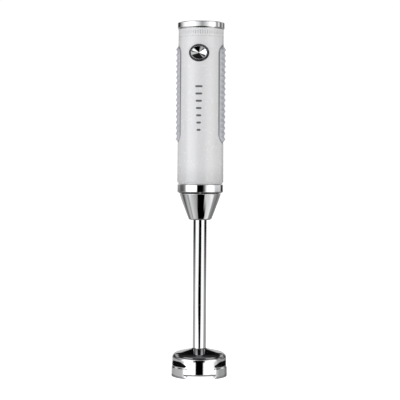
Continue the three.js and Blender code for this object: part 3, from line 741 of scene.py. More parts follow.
def leg_neck():
    """The plastic neck, with three bayonet lugs whose leading edges are chamfered by the rounding."""
    radius, low, high = 17.0, 175.8, reach("leg_neck")[2]
    shoulder = CONE_HIGH - 0.3
    neck = lathe(
        "leg_neck_fine",
        [
            (7.4, low), (12.1, low), (20.2, 199.8), (20.2, shoulder, 0.2), (radius, shoulder),
            (radius, high, 0.6), (9.6, high, 0.4), (9.6, 203.2), (3.6, 203.2), (3.6, 200.2), (6.15, 200.2),
            (6.15, 190.3), (7.4, 190.3),
        ],
    )
    lugs = [soften(sector("lug", radius - 1, 19.4, 120 * i, 12, 208.8, 211.4), 0.35) for i in range(3)]
    o_ring_seat = lathe("seat", [(16.2, 215.4), (18, 215.4), (18, 217.2), (16.2, 217.2)])
    return cut(join(neck, *lugs), o_ring_seat)


def bell_hub():
    spigot = TUBE_RADIUS - 1.1
    return lathe(
        "bell_hub_fine",
        [
            (7.0, 14.0, 0.3), (10.2, 14.0, 0.8), (11.4, 24.0), (11.4, 28.1), (spigot, 28.1),
            (spigot, 44.0), (5.2, 44.0), (5.2, 30.0), (3.5, 30.0), (3.5, 18.2), (7.0, 18.2),
        ],
        FINE,
    )


def shaft_seal():
    """A rubber lip seal with its garter-spring groove."""
    return lathe(
        "shaft_seal_fine",
        [
            (3.1, 14.9, 0.2), (3.9, 14.3, 0.3), (5.0, 14.6, 0.3), (6.85, 14.2, 0.3), (6.85, 18.0),
            (4.6, 18.0), (4.6, 16.4, 0.4), (3.1, 15.6, 0.1),
        ],
        FINE,
    )


fit(leg_tube(), "leg", "mirror_steel", "shaft_tube")
fit(leg_cone(), "leg", "chrome_trim", "leg_cone")
fit(leg_neck(), "leg", "grey_plastic", "leg_neck")
fit(bell_hub(), "leg", "grey_plastic", "bell_hub")
fit(shaft_seal(), "leg", "rubber", "shaft_seal")


# ---- spindle

BLADE_LEVEL = 8.0
BLADE_THICK = 1.2
SHAFT_RADIUS = 3.0
DOG_LAG = 31


def wing(way):
    """One swept wing with a ground bevel along its leading edge. It leans up or down towards its tip."""
    lead = [Vector((3, -5.3))] + bezier((8, -5.4), (14, -5.4), (19.5, -3.2), (23.2, 1.2), 16)
    trail = [Vector((3, 5.0))] + bezier((8, 4.4), (12.7, 2.5), (17.2, 2.3), (21.6, 3.4), 16)
    tip = Vector((23.0, 2.9))
    lead.append(lead[-1].lerp(tip, 0.7))
    trail.append(trail[-1].lerp(tip, 0.7))
    sections = []
    for a, b in zip(lead, trail):
        width = (b - a).length
        ground = min(2.6, width * 0.6) / width
        section = [
            (a, 0.45), (a, 0.6), (a.lerp(b, ground), BLADE_THICK), (a.lerp(b, 0.97), BLADE_THICK),
            (b, BLADE_THICK - 0.15), (b, 0.15), (a.lerp(b, 0.97), 0), (a.lerp(b, ground * 0.55), 0),
        ]
        sections.append([])
        for spot, height in section:
            lean = way * 0.16 * max(0, spot.x - 7)
            sections[-1].append((spot.x, spot.y, BLADE_LEVEL + height + lean))
    made = swept("wing", sections, sharp=25)
    return made if way > 0 else moved(made, Matrix.Rotation(math.pi, 4, "Z"))


def blade():
    boss = lathe(
        "blade_fine",
        [(SHAFT_RADIUS + 0.1, BLADE_LEVEL), (5.7, BLADE_LEVEL, 0.2), (5.7, BLADE_LEVEL + BLADE_THICK, 0.2),
            (SHAFT_RADIUS + 0.1, BLADE_LEVEL + BLADE_THICK)],
        FINE,
    )
    body = join(boss, wing(1), wing(-1))
    return cut(body, pin("bore", SHAFT_RADIUS + 0.1, 0, 20))


def blade_nut():
    """A domed cap nut with six flats."""
    dome = lathe(
        "blade_nut_fine",
        [
            (0, 4.2), (2.6, 4.45, 1.0), (4.5, 5.5, 0.5), (4.8, 6.3, 0.2), (4.8, 7.7, 0.15), (3.1, 7.7),
            (3.1, 5.0), (0, 5.0),
        ],
        FINE,
    )
    flats = lathe("flats", [(0, 5.6), (5.05, 5.6), (5.05, 9), (0, 9)], 6)
    nose = pin("nose", 5.4, 3, 5.9)
    return combine(dome, "INTERSECT", [join(flats, nose)])


def spacer():
    inner, low, high = SHAFT_RADIUS + 0.1, 9.5, 13.8
    return lathe("blade_spacer_fine", [(inner, low), (4.8, low, 0.3), (4.8, high, 0.3), (inner, high)], FINE)


def clutch_dogs(turn, low, high):
    """The three dogs of one half of the clutch, from an angle in degrees."""
    return [soften(sector("dog", 3.4, 7.4, 120 * i + turn, 15, low, high), 0.4) for i in range(3)]


def leg_coupling():
    low, seat = 205.2, 213.0
    cup = lathe(
        "leg_coupling_fine",
        [(0, low), (8.4, low, 0.5), (8.4, seat, 0.5), (0, seat)],
        FINE,
    )
    dogs = clutch_dogs(-DOG_LAG, seat - 0.5, 219.5)
    return cut(join(cup, *dogs), pin("bore", SHAFT_RADIUS + 0.1, 205, 211.4))


fit(blade(), "spindle", "blade_steel", "blade")
fit(blade_nut(), "spindle", "blade_steel", "blade_nut")
fit(spacer(), "spindle", "steel", "blade_spacer")
fit(leg_coupling(), "spindle", "black_plastic", "leg_coupling")


# ---- collar and socket


GASKET_SEAT = COLLAR_LOW + 0.95


def collar():
    return lathe(
        "collar_fine",
        [(20.4, GASKET_SEAT), (21.85, GASKET_SEAT), (21.85, COLLAR_LOW, 0.1), (22.75, COLLAR_LOW, 0.3),
            (COLLAR_RADIUS, COLLAR_LOW + 1.8, 0.6), (COLLAR_RADIUS, COLLAR_HIGH, 0.35), (22.6, COLLAR_HIGH),
            (22.6, GASKET_SEAT + 2.5), (20.4, GASKET_SEAT + 2.5)],
        steps=8,
    )


def gasket():
    inner, low, high = 19.75, CONE_HIGH + 0.25, GASKET_SEAT - 0.25
    outline = [(inner, low, 0.2), (21.6, low, 0.3), (21.6, high, 0.3), (inner, high, 0.2)]
    return lathe("collar_gasket_fine", outline)


def leg_socket():
    low, high = reach("leg_socket")[1:]
    bore, channel, ledge, top = 17.5, 19.8, 208.4, 212.2
    body = lathe(
        "leg_socket_fine",
        [
            (bore, low, 0.5), (22.4, low, 0.4), (22.4, high), (20.4, high), (20.4, 227.0), (9.0, 227.0),
            (9.0, 224.0, 0.5), (bore, 224.0, 0.5),
        ],
    )
    slots = [sector("slot", bore - 1, channel, 120 * i, 13, low - 1, top) for i in range(3)]
    pockets = [sector("pocket", bore - 1, channel, 120 * i - 15, 28, ledge, top, 24) for i in range(3)]
    holes = [moved(pin("hole", 1.5, 220, 230, 32), shift(side * 14, 0, 0)) for side in (1, -1)]
    return cut(body, *slots, *pockets, *holes)


def drive_coupling():
    dogs = clutch_dogs(0, 213.4, 221)
    hub = lathe("drive_coupling_fine", [(0, 220), (8.2, 220, 0.4), (8.2, 231, 0.4), (0, 231)], FINE)
    nose = lathe("nose", [(0, 214.4), (3.45, 214.4, 0.8), (3.45, 221), (0, 221)], FINE)
    return cut(join(hub, nose, *dogs), pin("bore", 2.6, 216, 240))


fit(collar(), "handle", "chrome_trim", "collar")
fit(gasket(), "gasket", "rubber", "collar_gasket")
fit(leg_socket(), "handle", "grey_plastic", "leg_socket")
fit(drive_coupling(), "rotor", "black_plastic", "drive_coupling")


# ---- grips

GRIP_LOW, GRIP_HIGH = (corner.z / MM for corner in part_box("grip_right"))
GRIP_MIDDLE = (GRIP_LOW + GRIP_HIGH) / 2
GRIP_HALF_HEIGHT = (GRIP_HIGH - GRIP_LOW) / 2
GRIP_HALF_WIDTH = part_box("grip_right")[1].y / MM
GRIP_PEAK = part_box("grip_right")[1].x / MM
GRIP_VALLEY = GRIP_PEAK - 1.3
GRIP_EDGE = GRIP_VALLEY - 0.3
GRIP_CORNER = 10.5
GRIP_FLOOR = 23.9
SCREW_LEVELS = 262.0, 345.0
GRIP_RIBS = 17.6
GRIP_BORDER = 1.7
GRIP_RIM = 24.75  # radius of the low border
RIB_BLUNT = 0.006  # rounds the ribs' peaks
RIB_SPAN = 0.92  # what that leaves of a rib's height
GRIP_COLUMNS = 32
ROW_STEP = 0.4


def inset_from(across, level, half_width, half_height, corner):
    """How far a point is inside a rounded outline."""
    past = Vector((max(0, abs(across) - half_width + corner), max(0, abs(level) - half_height + corner)))
    if past.length:
        return corner - past.length
    return min(half_width - abs(across), half_height - abs(level))


def patch(name, side, half_width, half_height, corner, back, front):
    """A pad with a rounded outline on the side of the handle, from a back radius to front(inset, height)."""
    straight = half_height - corner
    steps = 14
    spread = 0.98  # below 1, so that the columns close up less towards the pad's sides
    ends = [straight + corner * math.sin(math.pi / 2 * k / steps) for k in range(1, steps + 1)]
    fine_ends = [straight + ROW_STEP * k for k in range(1, int((ends[-2] - straight) / ROW_STEP))]
    middle = [-straight + ROW_STEP * k for k in range(int(2 * straight / ROW_STEP) + 1)] + [straight]
    upper = sorted(set(round(level, 4) for level in ends[-5:] + fine_ends))
    levels = [-level for level in reversed(upper)] + middle + upper
    outer, inner = [], []
    for level in levels:
        beyond = max(0, abs(level) - straight)
        half = half_width - corner + math.sqrt(max(0, corner * corner - beyond * beyond))
        outer.append([])
        inner.append([])
        for k in range(GRIP_COLUMNS + 1):
            turn = math.pi / 2 * (2 * k / GRIP_COLUMNS - 1) * spread
            share = math.sin(turn) / math.sin(math.pi / 2 * spread)
            across = half * share
            inset = inset_from(across, level, half_width, half_height, corner)
            for grid, radius in ((outer, front(inset, level)), (inner, back)):
                depth = math.sqrt(radius * radius - across * across)
                grid[-1].append((side * depth, side * across, GRIP_MIDDLE + level))
    return shell(name, outer, inner, lambda row, column: WALL, closed=False, sharp=40)


def ribbed(inset, level):
    """Pointed ribs with hollows between them, fading into a low border with a rolled edge."""
    pitch = 2 * GRIP_HALF_HEIGHT / GRIP_RIBS
    wave = math.sin(math.pi * level / pitch)
    height = 1 - math.sqrt(wave * wave + RIB_BLUNT)
    ribs = GRIP_VALLEY + (GRIP_PEAK - GRIP_VALLEY) * height / RIB_SPAN
    edge = GRIP_RIM + (GRIP_EDGE - GRIP_RIM) * smoothstep(GRIP_BORDER - 0.3, GRIP_BORDER + 0.7, inset)
    blend = smoothstep(GRIP_BORDER + 0.2, GRIP_BORDER + 2.6, inset)
    roll = 0.4
    fall = roll - math.sqrt(max(0, roll * roll - max(0, roll - inset) ** 2))
    return edge + (ribs - edge) * blend - fall


def grip(side):
    name = "grip_right_fine" if side > 0 else "grip_left_fine"
    pad = patch(name, side, GRIP_HALF_WIDTH, GRIP_HALF_HEIGHT, GRIP_CORNER, GRIP_FLOOR + 0.2, ribbed)
    quarter = Matrix.Rotation(side * math.pi / 2, 4, "Z")
    pockets = [
        moved(pin("pocket", 3.1, 15, 25.2, 32), TO_FRONT, quarter, shift(0, 0, level))
        for level in SCREW_LEVELS
    ]
    return cut(pad, *pockets)


def line_border(obj, look):
    """Gives a grip's low border a finish of its own, a dark grey that is painted shade along the grip's edge.
    """
    obj.data.materials.append(look)
    for face in obj.data.polygons:
        across, level = face.center.y / MM, face.center.z / MM - GRIP_MIDDLE
        if inset_from(across, level, GRIP_HALF_WIDTH, GRIP_HALF_HEIGHT, GRIP_CORNER) < GRIP_BORDER:
            face.material_index = 1


# painted shade: the dark grey band stands in for the shadow line along the grip's edge
GRIP_SHADE_LINE = moulded("grip_border_painted_shade", (0.2, 0.2, 0.21), (0.4, 0.55), 0.01, 1500)
for grip_side, grip_node in ((1, "grip_right"), (-1, "grip_left")):
    pad = fit(grip(grip_side), "handle", "silver_satin", grip_node)
    line_border(pad, GRIP_SHADE_LINE)


# ---- housing, vent ring, cap and gland

HOUSING_TOP_RADIUS = HOUSING_RADIUS - 0.5
HOUSING_BORE = 22.7


def housing():
    outline = [
        (HOUSING_BORE, HOUSING_LOW), (24.2, HOUSING_LOW, 0.15), (24.2, 212.5, 0.2),
        (HOUSING_RADIUS, 213.3, 0.45), (HOUSING_TOP_RADIUS, HOUSING_HIGH, 0.15),
        (HOUSING_BORE, HOUSING_HIGH),
    ]
    tube = lathe("housing_tube_fine", outline)
    clean = lathe("housing_clean", outline)
    gap = 0.2
    recesses = [
        patch("recess", side, GRIP_HALF_WIDTH + gap, GRIP_HALF_HEIGHT + gap, GRIP_CORNER + gap, GRIP_FLOOR,
            lambda inset, level: HOUSING_RADIUS + 3)
        for side in (1, -1)
    ]
    across, up = 10.1, 8.65
    opening = pin("opening", 1, 15, 35)
    opening = moved(opening, Matrix.Diagonal((across, up, 1, 1)), TO_FRONT, shift(0, 0, BUTTON_LEVEL))
    holes = [
        moved(pin("hole", 1.7, 15, 35, 32), TO_FRONT, Matrix.Rotation(turn, 4, "Z"), shift(0, 0, level))
        for level in SCREW_LEVELS for turn in (math.pi / 2, -math.pi / 2)
    ]
    return polish(cut(tube, *recesses, opening, *holes), clean)


def vent_ring():
    """The ring under the cap, with upright slots all round. A slot is two cells wide, and so is a bar."""
    slots = 60
    rise = [
        (22.4, VENT_LOW), (22.4, HOUSING_HIGH + 0.08), (VENT_RADIUS - 0.12, HOUSING_HIGH + 0.08),
        (VENT_RADIUS, HOUSING_HIGH + 0.2), (VENT_RADIUS, 373.9), (VENT_RADIUS, 375.9), (VENT_RADIUS, 378.0),
        (VENT_RADIUS, VENT_HIGH - 0.25), (VENT_RADIUS - 0.25, VENT_HIGH),
    ]
    lining = [
        (21.4, VENT_LOW), (21.4, 371.5), (21.7, 372.0), (22.2, 372.6), (22.7, 373.9), (22.7, 375.9),
        (22.7, 378.0), (22.7, VENT_HIGH - 0.25), (22.7, VENT_HIGH),
    ]
    half_step = math.pi / slots
    slot_half = 0.17 / VENT_RADIUS
    angles = []
    for i in range(slots):
        centre = 2 * half_step * i + half_step - math.pi / 2
        angles += [centre - slot_half, centre, centre + slot_half, centre + half_step]
    outer, inner = (
        [[turned_place(radius, level, angle) for angle in angles] for radius, level in profile]
        for profile in (rise, lining)
    )
    ring = shell(
        "vent_ring_fine", outer, inner, lambda row, column: HOLE if row in (4, 5) and column % 4 < 2 else WALL
    )
    return soften(ring, 0.12, segments=2)


def top_cap():
    """The cap, with a slightly domed top that turns down into its side."""
    wall = 1.5
    brink, side = (24.9, CAP_HIGH - 0.75), (CAP_RADIUS, CAP_HIGH - 1.8)
    crown = bezier((12.0, CAP_HIGH), (17.0, CAP_HIGH), (21.5, CAP_HIGH - 0.35), brink, 10)
    crown += bezier(brink, (25.5, CAP_HIGH - 0.82), (CAP_RADIUS, CAP_HIGH - 1.1), side, 10)[1:]
    return lathe(
        "top_cap_fine",
        [(6.1, CAP_HIGH, 0.2)] + crown + [(CAP_RADIUS, CAP_LOW + 1.2, 0.25),
            (CAP_RADIUS - 0.9, CAP_LOW, 0.25), (22.3, CAP_LOW), (22.3, CAP_LOW - 2.0), (21.2, CAP_LOW - 2.0),
            (21.2, CAP_LOW + wall), (CAP_RADIUS - wall, CAP_LOW + wall), (CAP_RADIUS - wall, CAP_HIGH - 3.8),
            (22.4, CAP_HIGH - 2.2), (19.6, CAP_HIGH - wall), (6.1, CAP_HIGH - wall)],
    )


def cord_gland():
    bore, top, under = 3.4, CAP_HIGH + 0.2, CAP_HIGH - 1.7
    return lathe(
        "cord_gland_fine",
        [
            (bore, top + 1.1, 0.5), (6.4, top + 1.1, 0.5), (7.6, top + 0.55, 0.4), (7.6, top, 0.1),
            (5.9, top), (5.9, under), (7.0, under), (7.0, under - 1.5), (bore, under - 1.5, 0.3),
        ],
        FINE,
    )


fit(housing(), "handle", "white_gloss", "housing_tube")
fit(vent_ring(), "handle", "white_gloss", "vent_ring")
fit(top_cap(), "handle", "chrome_trim", "top_cap")
fit(cord_gland(), "handle", "rubber", "cord_gland")


# ---- button

BEZEL_ACROSS = BEZEL_HIGH.x / MM
BEZEL_UP = (BEZEL_HIGH.z - BEZEL_LOW.z) / 2 / MM
BEZEL_FRONT = -BEZEL_LOW.y / MM
BUTTON_ACROSS, BUTTON_UP = 8.7, 7.2
BUTTON_FRONT = -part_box("power_button")[0].y / MM
BUTTON_GAP = 0.25
SADDLE = HOUSING_TOP_RADIUS + 0.06


def bezel():
    """The oval ring, with a thin lip and a steep outer slope. A height below 5 is measured from the
    handle's wall, so that the ring's foot follows it."""
    bore = BUTTON_ACROSS + BUTTON_GAP
    squeeze_in = (BUTTON_UP + BUTTON_GAP) / bore
    squeeze_out = BEZEL_UP / BEZEL_ACROSS

    def place(radius, height, angle):
        share = (radius - bore) / (BEZEL_ACROSS - bore)
        x = radius * math.cos(angle)
        y = radius * math.sin(angle) * (squeeze_in + (squeeze_out - squeeze_in) * share)
        foot = math.sqrt(SADDLE * SADDLE - x * x)
        return x, y, foot + height if height < 5 else max(height, foot + 0.1)

    outline = [
        (bore, BEZEL_FRONT - 0.1, 0.2), (bore + 0.6, BEZEL_FRONT, 0.25),
        (BEZEL_ACROSS, BEZEL_FRONT - 2.6, 0.2), (BEZEL_ACROSS, 0.02), (bore + 1.0, 0.02),
        (bore + 0.95, 19.5), (bore, 19.5),
    ]
    ring = lathe("button_bezel_fine", outline, 144, place=place)
    return moved(ring, TO_FRONT, shift(0, 0, BUTTON_LEVEL))


def power_button():
    """The chrome button: a shallow dished cone inside a rounded rim, a flange that holds it in and a stem."""
    squeeze = BUTTON_UP / BUTTON_ACROSS

    def place(radius, height, angle):
        return radius * math.cos(angle), radius * math.sin(angle) * squeeze, height

    outline = [
        (0, BUTTON_FRONT - 2.45), (BUTTON_ACROSS - 0.75, BUTTON_FRONT - 0.1, 0.25),
        (BUTTON_ACROSS - 0.35, BUTTON_FRONT, 0.2), (BUTTON_ACROSS, BUTTON_FRONT - 0.4, 0.3),
        (BUTTON_ACROSS, 19.2), (BUTTON_ACROSS + 1.0, 19.2, 0.2), (BUTTON_ACROSS + 1.0, 18.0, 0.2),
        (2.2, 18.0), (2.2, 10.2, 0.3), (0, 10.2),
    ]
    return moved(lathe("power_button_fine", outline, 144, place=place), TO_FRONT, shift(0, 0, BUTTON_LEVEL))


def button_spring():
    """A compression spring with closed ends: a round wire swept along a helix."""
    radius, wire, turns = 4.2, 0.4, 6.5
    low, high = 7.35, 17.25
    steps, sides = 260, 12
    sections = []
    for i in range(steps + 1):
        share = i / steps
        angle = 2 * math.pi * turns * share
        rise = smoothstep(0.08, 0.92, share) * 0.9 + share * 0.1
        out = Vector((math.cos(angle), math.sin(angle), 0))
        centre = out * radius + Vector((0, 0, low + (high - low) * rise))
        sections.append([])
        for k in range(sides):
            turn = 2 * math.pi * k / sides
            sections[-1].append(centre + out * wire * math.cos(turn) + Vector((0, 0, wire * math.sin(turn))))
    return moved(swept("button_spring_fine", sections), TO_FRONT, shift(0, 0, BUTTON_LEVEL))


# painted reflection: the chrome ring is darkened to show the dark reflections round the button
CHROME_PAINTED_DARK = bright_metal("chrome_painted_dark", (0.13, 0.13, 0.14), 0.05, 0.1, (1, 1, 1))
fit(bezel(), "handle", "chrome_trim", "button_bezel", look=CHROME_PAINTED_DARK)
fit(power_button(), "button", "chrome_trim", "power_button")
fit(button_spring(), "handle", "steel", "button_spring")


# ---- printed ornament


def ornament():
    """A printed ladder of seven bars that widen upwards, in a thin coat of grey ink."""
    bars, low, high = 7, 270.0, 317.0
    half_height, ink, steps = 1.1, 0.04, 24
    marks = []
    for i in range(bars):
        level = low + (high - low) * i / (bars - 1)
        half = 2.2 + 0.3 * i
        share = (level - HOUSING_LOW) / (HOUSING_HIGH - HOUSING_LOW)
        wall = HOUSING_RADIUS + (HOUSING_TOP_RADIUS - HOUSING_RADIUS) * share + 0.02
        grids = []
        for radius in (wall + ink, wall):
            grid = [[], []]
            for k in range(steps + 1):
                x = -half * math.cos(math.pi * k / steps)
                end = max(0, abs(x) - half + half_height)
                rise = math.sqrt(max(0, half_height**2 - end**2))
                for row, way in zip(grid, (-1, 1)):
                    row.append((x, -math.sqrt(radius * radius - x * x), level + way * rise))
            grids.append(grid)
        marks.append(shell("mark", *grids, lambda row, column: WALL, closed=False))
    return merge("printed_bars", marks)


INK = moulded("grey_ink", (0.12, 0.12, 0.125), (0.35, 0.5), 0.002, 2500, spread=0.1)
fit(ornament(), "handle", "grey_plastic", look=INK)


# ---- CAD nodes that stay


slots_of = {part["node"]: part["material_slot"] for part in frame["record"]["subparts"]}
for node_name, node in frame["nodes"].items():
    if node.hide_render:
        continue
    node.data.materials.clear()
    node.data.materials.append(LOOKS[slots_of[node_name]])
    node.data.polygons.foreach_set("use_smooth", [True] * len(node.data.polygons))
    split = node.modifiers.new("crease", "EDGE_SPLIT")
    split.split_angle = math.radians(32)


# ---- camera

CAMERA_DISTANCE = 1.4
CAMERA_HEIGHT = 0.232
CAMERA_SIDE = math.radians(5.0)  # how far round the camera stands towards the right-hand grip
AIM_HEIGHT = 0.1936
AIM_ASIDE = -0.00015
ROLL = math.radians(0.36)
PICTURE_WIDTH = 0.44  # metres that the picture spans at the blender

scene = bpy.context.scene
camera = bpy.data.objects.new("camera", bpy.data.cameras.new("camera"))
scene.collection.objects.link(camera)
across = Vector((math.cos(CAMERA_SIDE), math.sin(CAMERA_SIDE), 0))
away = Vector((math.sin(CAMERA_SIDE), -math.cos(CAMERA_SIDE), 0))
aim = across * AIM_ASIDE + Vector((0, 0, AIM_HEIGHT))
camera.location = across * AIM_ASIDE + away * CAMERA_DISTANCE + Vector((0, 0, CAMERA_HEIGHT))
looking = (aim - camera.location).to_track_quat("-Z", "Y").to_matrix().to_4x4()
camera.rotation_euler = (looking @ Matrix.Rotation(ROLL, 4, "Z")).to_euler()
camera.data.sensor_width = 36
camera.data.lens = 36 * CAMERA_DISTANCE / PICTURE_WIDTH
camera.data.clip_end = 50
scene.camera = camera


# ---- studio

scene.view_settings.view_transform = "Standard"


PAD = -0.04, -0.02  # levels of the pads on the floor, which lies lower
COOL = (2.1, 2.13, 2.3)  # radiance of the left softbox, where 1 is white in the picture
WARM = (1.4, 1.36, 1.33)  # and of the right one
STRENGTH = 2.4
FILL_AIM = 0.22  # metres above the floor

# What is round the blender, from straight down to straight up. Each layer starts to blend in at its first
# height and is there alone from its second one, as parts of a unit sphere. Its bands are (degrees round from
# the camera to the right, radiance).
LAYERS = [
    (-1.0, -1.0, [(-180, 0.05), (180, 0.05)]),
    (-0.92, -0.8, [
        (-180, 0.06), (-140, 0.09), (-110, 0.5), (-92, 0.5), (-82, 0.28), (-71, 0.69), (-36, 0.4),
        (-26, 0.35), (-22, 0), (46, 0), (50, 0.6), (88, 0.85), (97, 0.28), (130, 0.16), (180, 0.06),
    ]),
    (-0.67, -0.6, [
        (-180, 0.06), (-140, 0.09), (-110, 0.5), (-92, 0.5), (-82, 0.28), (-71, 0.69), (-32, 0.38),
        (-20, 0.3), (-16, 0), (27, 0), (32, 0.6), (88, 0.85), (97, 0.28), (130, 0.16), (180, 0.06),
    ]),
    (-0.55, -0.5, [
        (-180, 0.2), (-140, 0.15), (-122, 0.2), (-110, 0.4), (-92, 0.5), (-82, 0.28), (-71, 0.8),
        (-60, 0.9), (-48, 0.5), (-22, 0.4), (-19, 0), (20, 0), (23, 1.1), (88, 0.9), (97, 0.28), (130, 0.2),
        (180, 0.2),
    ]),
    (-0.45, -0.38, [
        (-180, 0.15), (-135, 0.25), (-122, 0.08), (-111, 0.15), (-100, 0.35), (-85, 0.5), (-76, 0.6),
        (-62, 0.3), (-52, 0.1), (-30, 0.1), (-20, 0.3), (-16, 0), (12, 0), (15, 1.1), (70, WARM), (80, 0.5),
        (92, 0.35), (104, 0.3), (119, 0.2), (128, 0.12), (140, 0.3), (180, 0.3),
    ]),
    (-0.3, -0.22, [
        (-180, 0.5), (-152, 0.45), (-138, 0.35), (-128, 0.42), (-80, 0.5), (-75, 0.55), (-70, 0.8),
        (-65, 1.1), (-60, COOL), (-30, COOL), (-16, 1.1), (-14, 0), (16, 0), (18, 1.05), (40, WARM),
        (58, WARM), (66, 0.9), (72, 0.62), (80, 0.56), (86, 0.42), (98, 0.34), (119, 0.36), (128, 0.32),
        (138, 0.22), (152, 0.2), (180, 0.4),
    ]),
    (-0.145, -0.115, [
        (-180, 0.5), (-88, 0.34), (-76, 1.1), (-26, 1.1), (-24, 0), (23, 0), (25, 1.1), (72, 1.1),
        (84, 0.32), (130, 0.28), (180, 0.5),
    ]),
    (-0.1, -0.05, [
        (-180, 0.2), (-150, 0.04), (-82, 0.03), (-76, 1.1), (-20, 1.1), (-18, 0), (26, 0), (28, 1.1),
        (76, 1.1), (82, 0.02), (150, 0.01), (180, 0.2),
    ]),
    (-0.038, -0.012, [
        (-180, 0.9), (-165, 0.8), (-155, 0.36), (-138, 0.36), (-125, 0.27), (-115, 0.12), (-98, 0.14),
        (-90, 0.23), (-83, 0.4), (-77, 0.8), (-71, 1.2), (-64, COOL), (-32, COOL), (-17, 1.2), (-15, 0),
        (13, 0), (19, 0.15), (25, 0.44), (30, 0.71), (35, 1.0), (42, 1.2), (60, WARM), (75, 1.0),
        (82, 0.85), (96, 0.76), (113, 0.85), (122, 0.65), (130, 0.12), (135, 0.03), (151, 0.01), (165, 0.8),
        (180, 0.9),
    ]),
    (0.0, 0.025, [
        (-180, 0.9), (-165, 0.8), (-152, 0.45), (-138, 0.35), (-128, 0.45), (-80, 0.52), (-75, 0.6),
        (-71, 1.0), (-66, COOL), (-44, COOL), (-34, 1.2), (-20, 0.7), (-14, 0), (14, 0), (24, 0.6),
        (40, WARM), (64, WARM), (70, 0.85), (75, 0.68), (80, 0.56), (86, 0.46), (98, 0.38), (119, 0.38),
        (128, 0.34), (138, 0.22), (152, 0.3), (165, 0.8), (180, 0.9),
    ]),
    (0.06, 0.09, [
        (-180, 0.9), (-165, 0.8), (-149, 0.05), (-134, 0.02), (-123, 0.12), (-113, 0.33), (-105, 0.55),
        (-97, 0.8), (-80, 1.2), (-70, 1.6), (-40, 1.6), (-24, 1.0), (-12, 0.76), (2, 0.38), (7, 0.38),
        (17, 0.53), (27, 0.74), (37, 0.96), (42, WARM), (71, WARM), (75, 0.7), (83, 0.25), (89, 0.4),
        (96, 1.0), (104, 0.3), (113, 0.0), (123, 0.6), (133, 0.35), (149, 0.0), (165, 0.8), (180, 0.9),
    ]),
    (0.3, 0.36, [
        (-180, 0.005), (-158, 0.01), (-148, 0.8), (-118, 0.8), (-108, 0.06), (-40, 0.04), (0, 0.01),
        (40, 0.04), (108, 0.06), (118, 0.8), (148, 0.8), (158, 0.01), (180, 0.005),
    ]),
    (0.5, 0.58, [
        (-180, 0.005), (-90, 0.06), (-80, 0.9), (-36, 0.9), (-31, 0.01), (31, 0.01), (36, 0.9), (80, 0.9),
        (90, 0.06), (180, 0.005),
    ]),
    (0.72, 0.8, [(-180, 0.05), (-90, 0.05), (-70, 0.25), (70, 0.25), (90, 0.05), (180, 0.05)]),
]


def layer_stops(bands):
    """A layer's bands as stops of (share of a turn, colour at the world's strength)."""
    stops = []
    for angle, radiance in bands:
        colour = Vector(radiance if isinstance(radiance, tuple) else [radiance] * 3) / STRENGTH
        stops.append(((angle + 180) / 360, colour))
    return stops


def studio_world():
    """Softboxes either side of a dark gap where the camera stands, under a dark ceiling. The camera itself
    sees a white backdrop."""
    world = bpy.data.worlds.new("studio")
    scene.world = world
    world.use_nodes = True
    world.node_tree.nodes.clear()
    tree = Tree(world.node_tree)

    def mixed(factor, first, second):
        node = tree.add("ShaderNodeMix")
        node.data_type = "RGBA"
        tree.link(factor, node.inputs["Factor"])
        for output, name in ((first, "A"), (second, "B")):
            tree.link(output, next(s for s in node.inputs if s.name == name and s.type == "RGBA"))
        return next(s for s in node.outputs if s.type == "RGBA")

    place = tree.add("ShaderNodeTexCoord").outputs["Generated"]
    turned = tree.add("ShaderNodeVectorRotate", place, Angle=math.pi / 2 - CAMERA_SIDE)
    turned.rotation_type = "Z_AXIS"
    parts = tree.add("ShaderNodeSeparateXYZ", turned.outputs["Vector"]).outputs
    angle = tree.add("ShaderNodeMath", parts["Y"], 0)
    angle.operation = "ARCTAN2"
    tree.link(parts["X"], angle.inputs[1])
    turn = tree.ranged(angle.outputs[0], 0, 1, -math.pi, math.pi)
    colour = None
    for low, high, bands in LAYERS:
        layer = tree.ramp(turn, layer_stops(bands))
        share = tree.ranged(parts["Z"], 0, 1, low, high)
        colour = mixed(share, colour, layer) if colour else layer
    room = tree.add("ShaderNodeBackground", colour, "Color", Strength=STRENGTH)
    backdrop = tree.add("ShaderNodeBackground", Color=(1, 1, 1, 1), Strength=1.05)
    seen = tree.add("ShaderNodeMixShader", tree.add("ShaderNodeLightPath").outputs["Is Camera Ray"], 0)
    tree.link(room.outputs[0], seen.inputs[1])
    tree.link(backdrop.outputs[0], seen.inputs[2])
    tree.add("ShaderNodeOutputWorld", seen.outputs[0], "Surface")


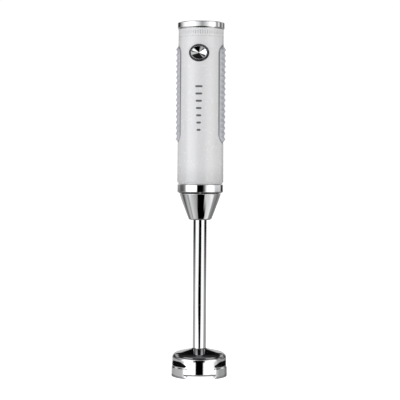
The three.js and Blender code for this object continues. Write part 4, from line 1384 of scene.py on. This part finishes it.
def area_light(name, spot, size, power):
    """A soft fill aimed at the middle of the blender. It lights surfaces without showing in them."""
    light = bpy.data.lights.new(name, "AREA")
    light.shape = "RECTANGLE"
    light.size, light.size_y = size
    light.energy = power
    obj = bpy.data.objects.new(name, light)
    obj.location = spot
    obj.rotation_euler = (Vector((0, 0, FILL_AIM)) - obj.location).to_track_quat("-Z", "Y").to_euler()
    obj.visible_glossy = False
    obj.visible_camera = False
    scene.collection.objects.link(obj)


def floor():
    """A pale floor that glows evenly, like a sweep lit from under."""
    side = 6.0
    corners = [(x * side / MM, y * side / MM, -0.05) for x, y in ((-1, -1), (1, -1), (1, 1), (-1, 1))]
    sheet = mesh_object("floor", corners, [(0, 1, 2, 3)])
    nodes = Nodes("pale_floor", (0.9, 0.9, 0.9), 0.8)
    nodes.two_tone(nodes.noise(1.5, detail=2), (0.89, 0.89, 0.89), (0.91, 0.91, 0.91))
    nodes.set("Emission Color", (1, 1, 1, 1))
    nodes.set("Emission Strength", 0.95)
    sheet.data.materials.append(nodes.material)
    sheet.visible_glossy = False


def reflected_pad(pad, low, high):
    """Makes a pad on the floor matt, between two greys. It is seen only in reflections."""
    dark, light = ((grey, grey, grey + 0.01) for grey in (low, high))
    nodes = Nodes(pad.name, dark, 0.9)
    nodes.two_tone(nodes.noise(40, detail=2), dark, light)
    pad.data.materials.append(nodes.material)
    pad.visible_camera = False
    pad.visible_diffuse = False
    pad.visible_shadow = False
    return nodes


def under_shadow():
    """The shade on the floor under the bell, fading outwards."""
    edge = BELL_RADIUS + 12
    nodes = reflected_pad(pin("under_shadow", edge, *PAD), 0.52, 0.56)
    distance = nodes.add("ShaderNodeVectorMath", nodes.place, 0)
    distance.operation = "LENGTH"
    fade = nodes.ranged(distance.outputs["Value"], 1, 0, BELL_RADIUS * MM, edge * MM)
    nodes.link(fade, nodes.shader.inputs["Alpha"])


def front_shade():
    """A grey strip before the bell, which shows as a thin line along the rim."""
    reflected_pad(sector("front_shade", BELL_RADIUS + 16, BELL_RADIUS + 29, 5, 48, *PAD, 32), 0.68, 0.72)


studio_world()
area_light("left_fill", (-1.0, -0.9, 0.6), (0.6, 0.9), 2.0)
area_light("right_fill", (1.0, -0.9, 0.6), (0.6, 0.9), 1.5)
floor()
under_shadow()
front_shade()
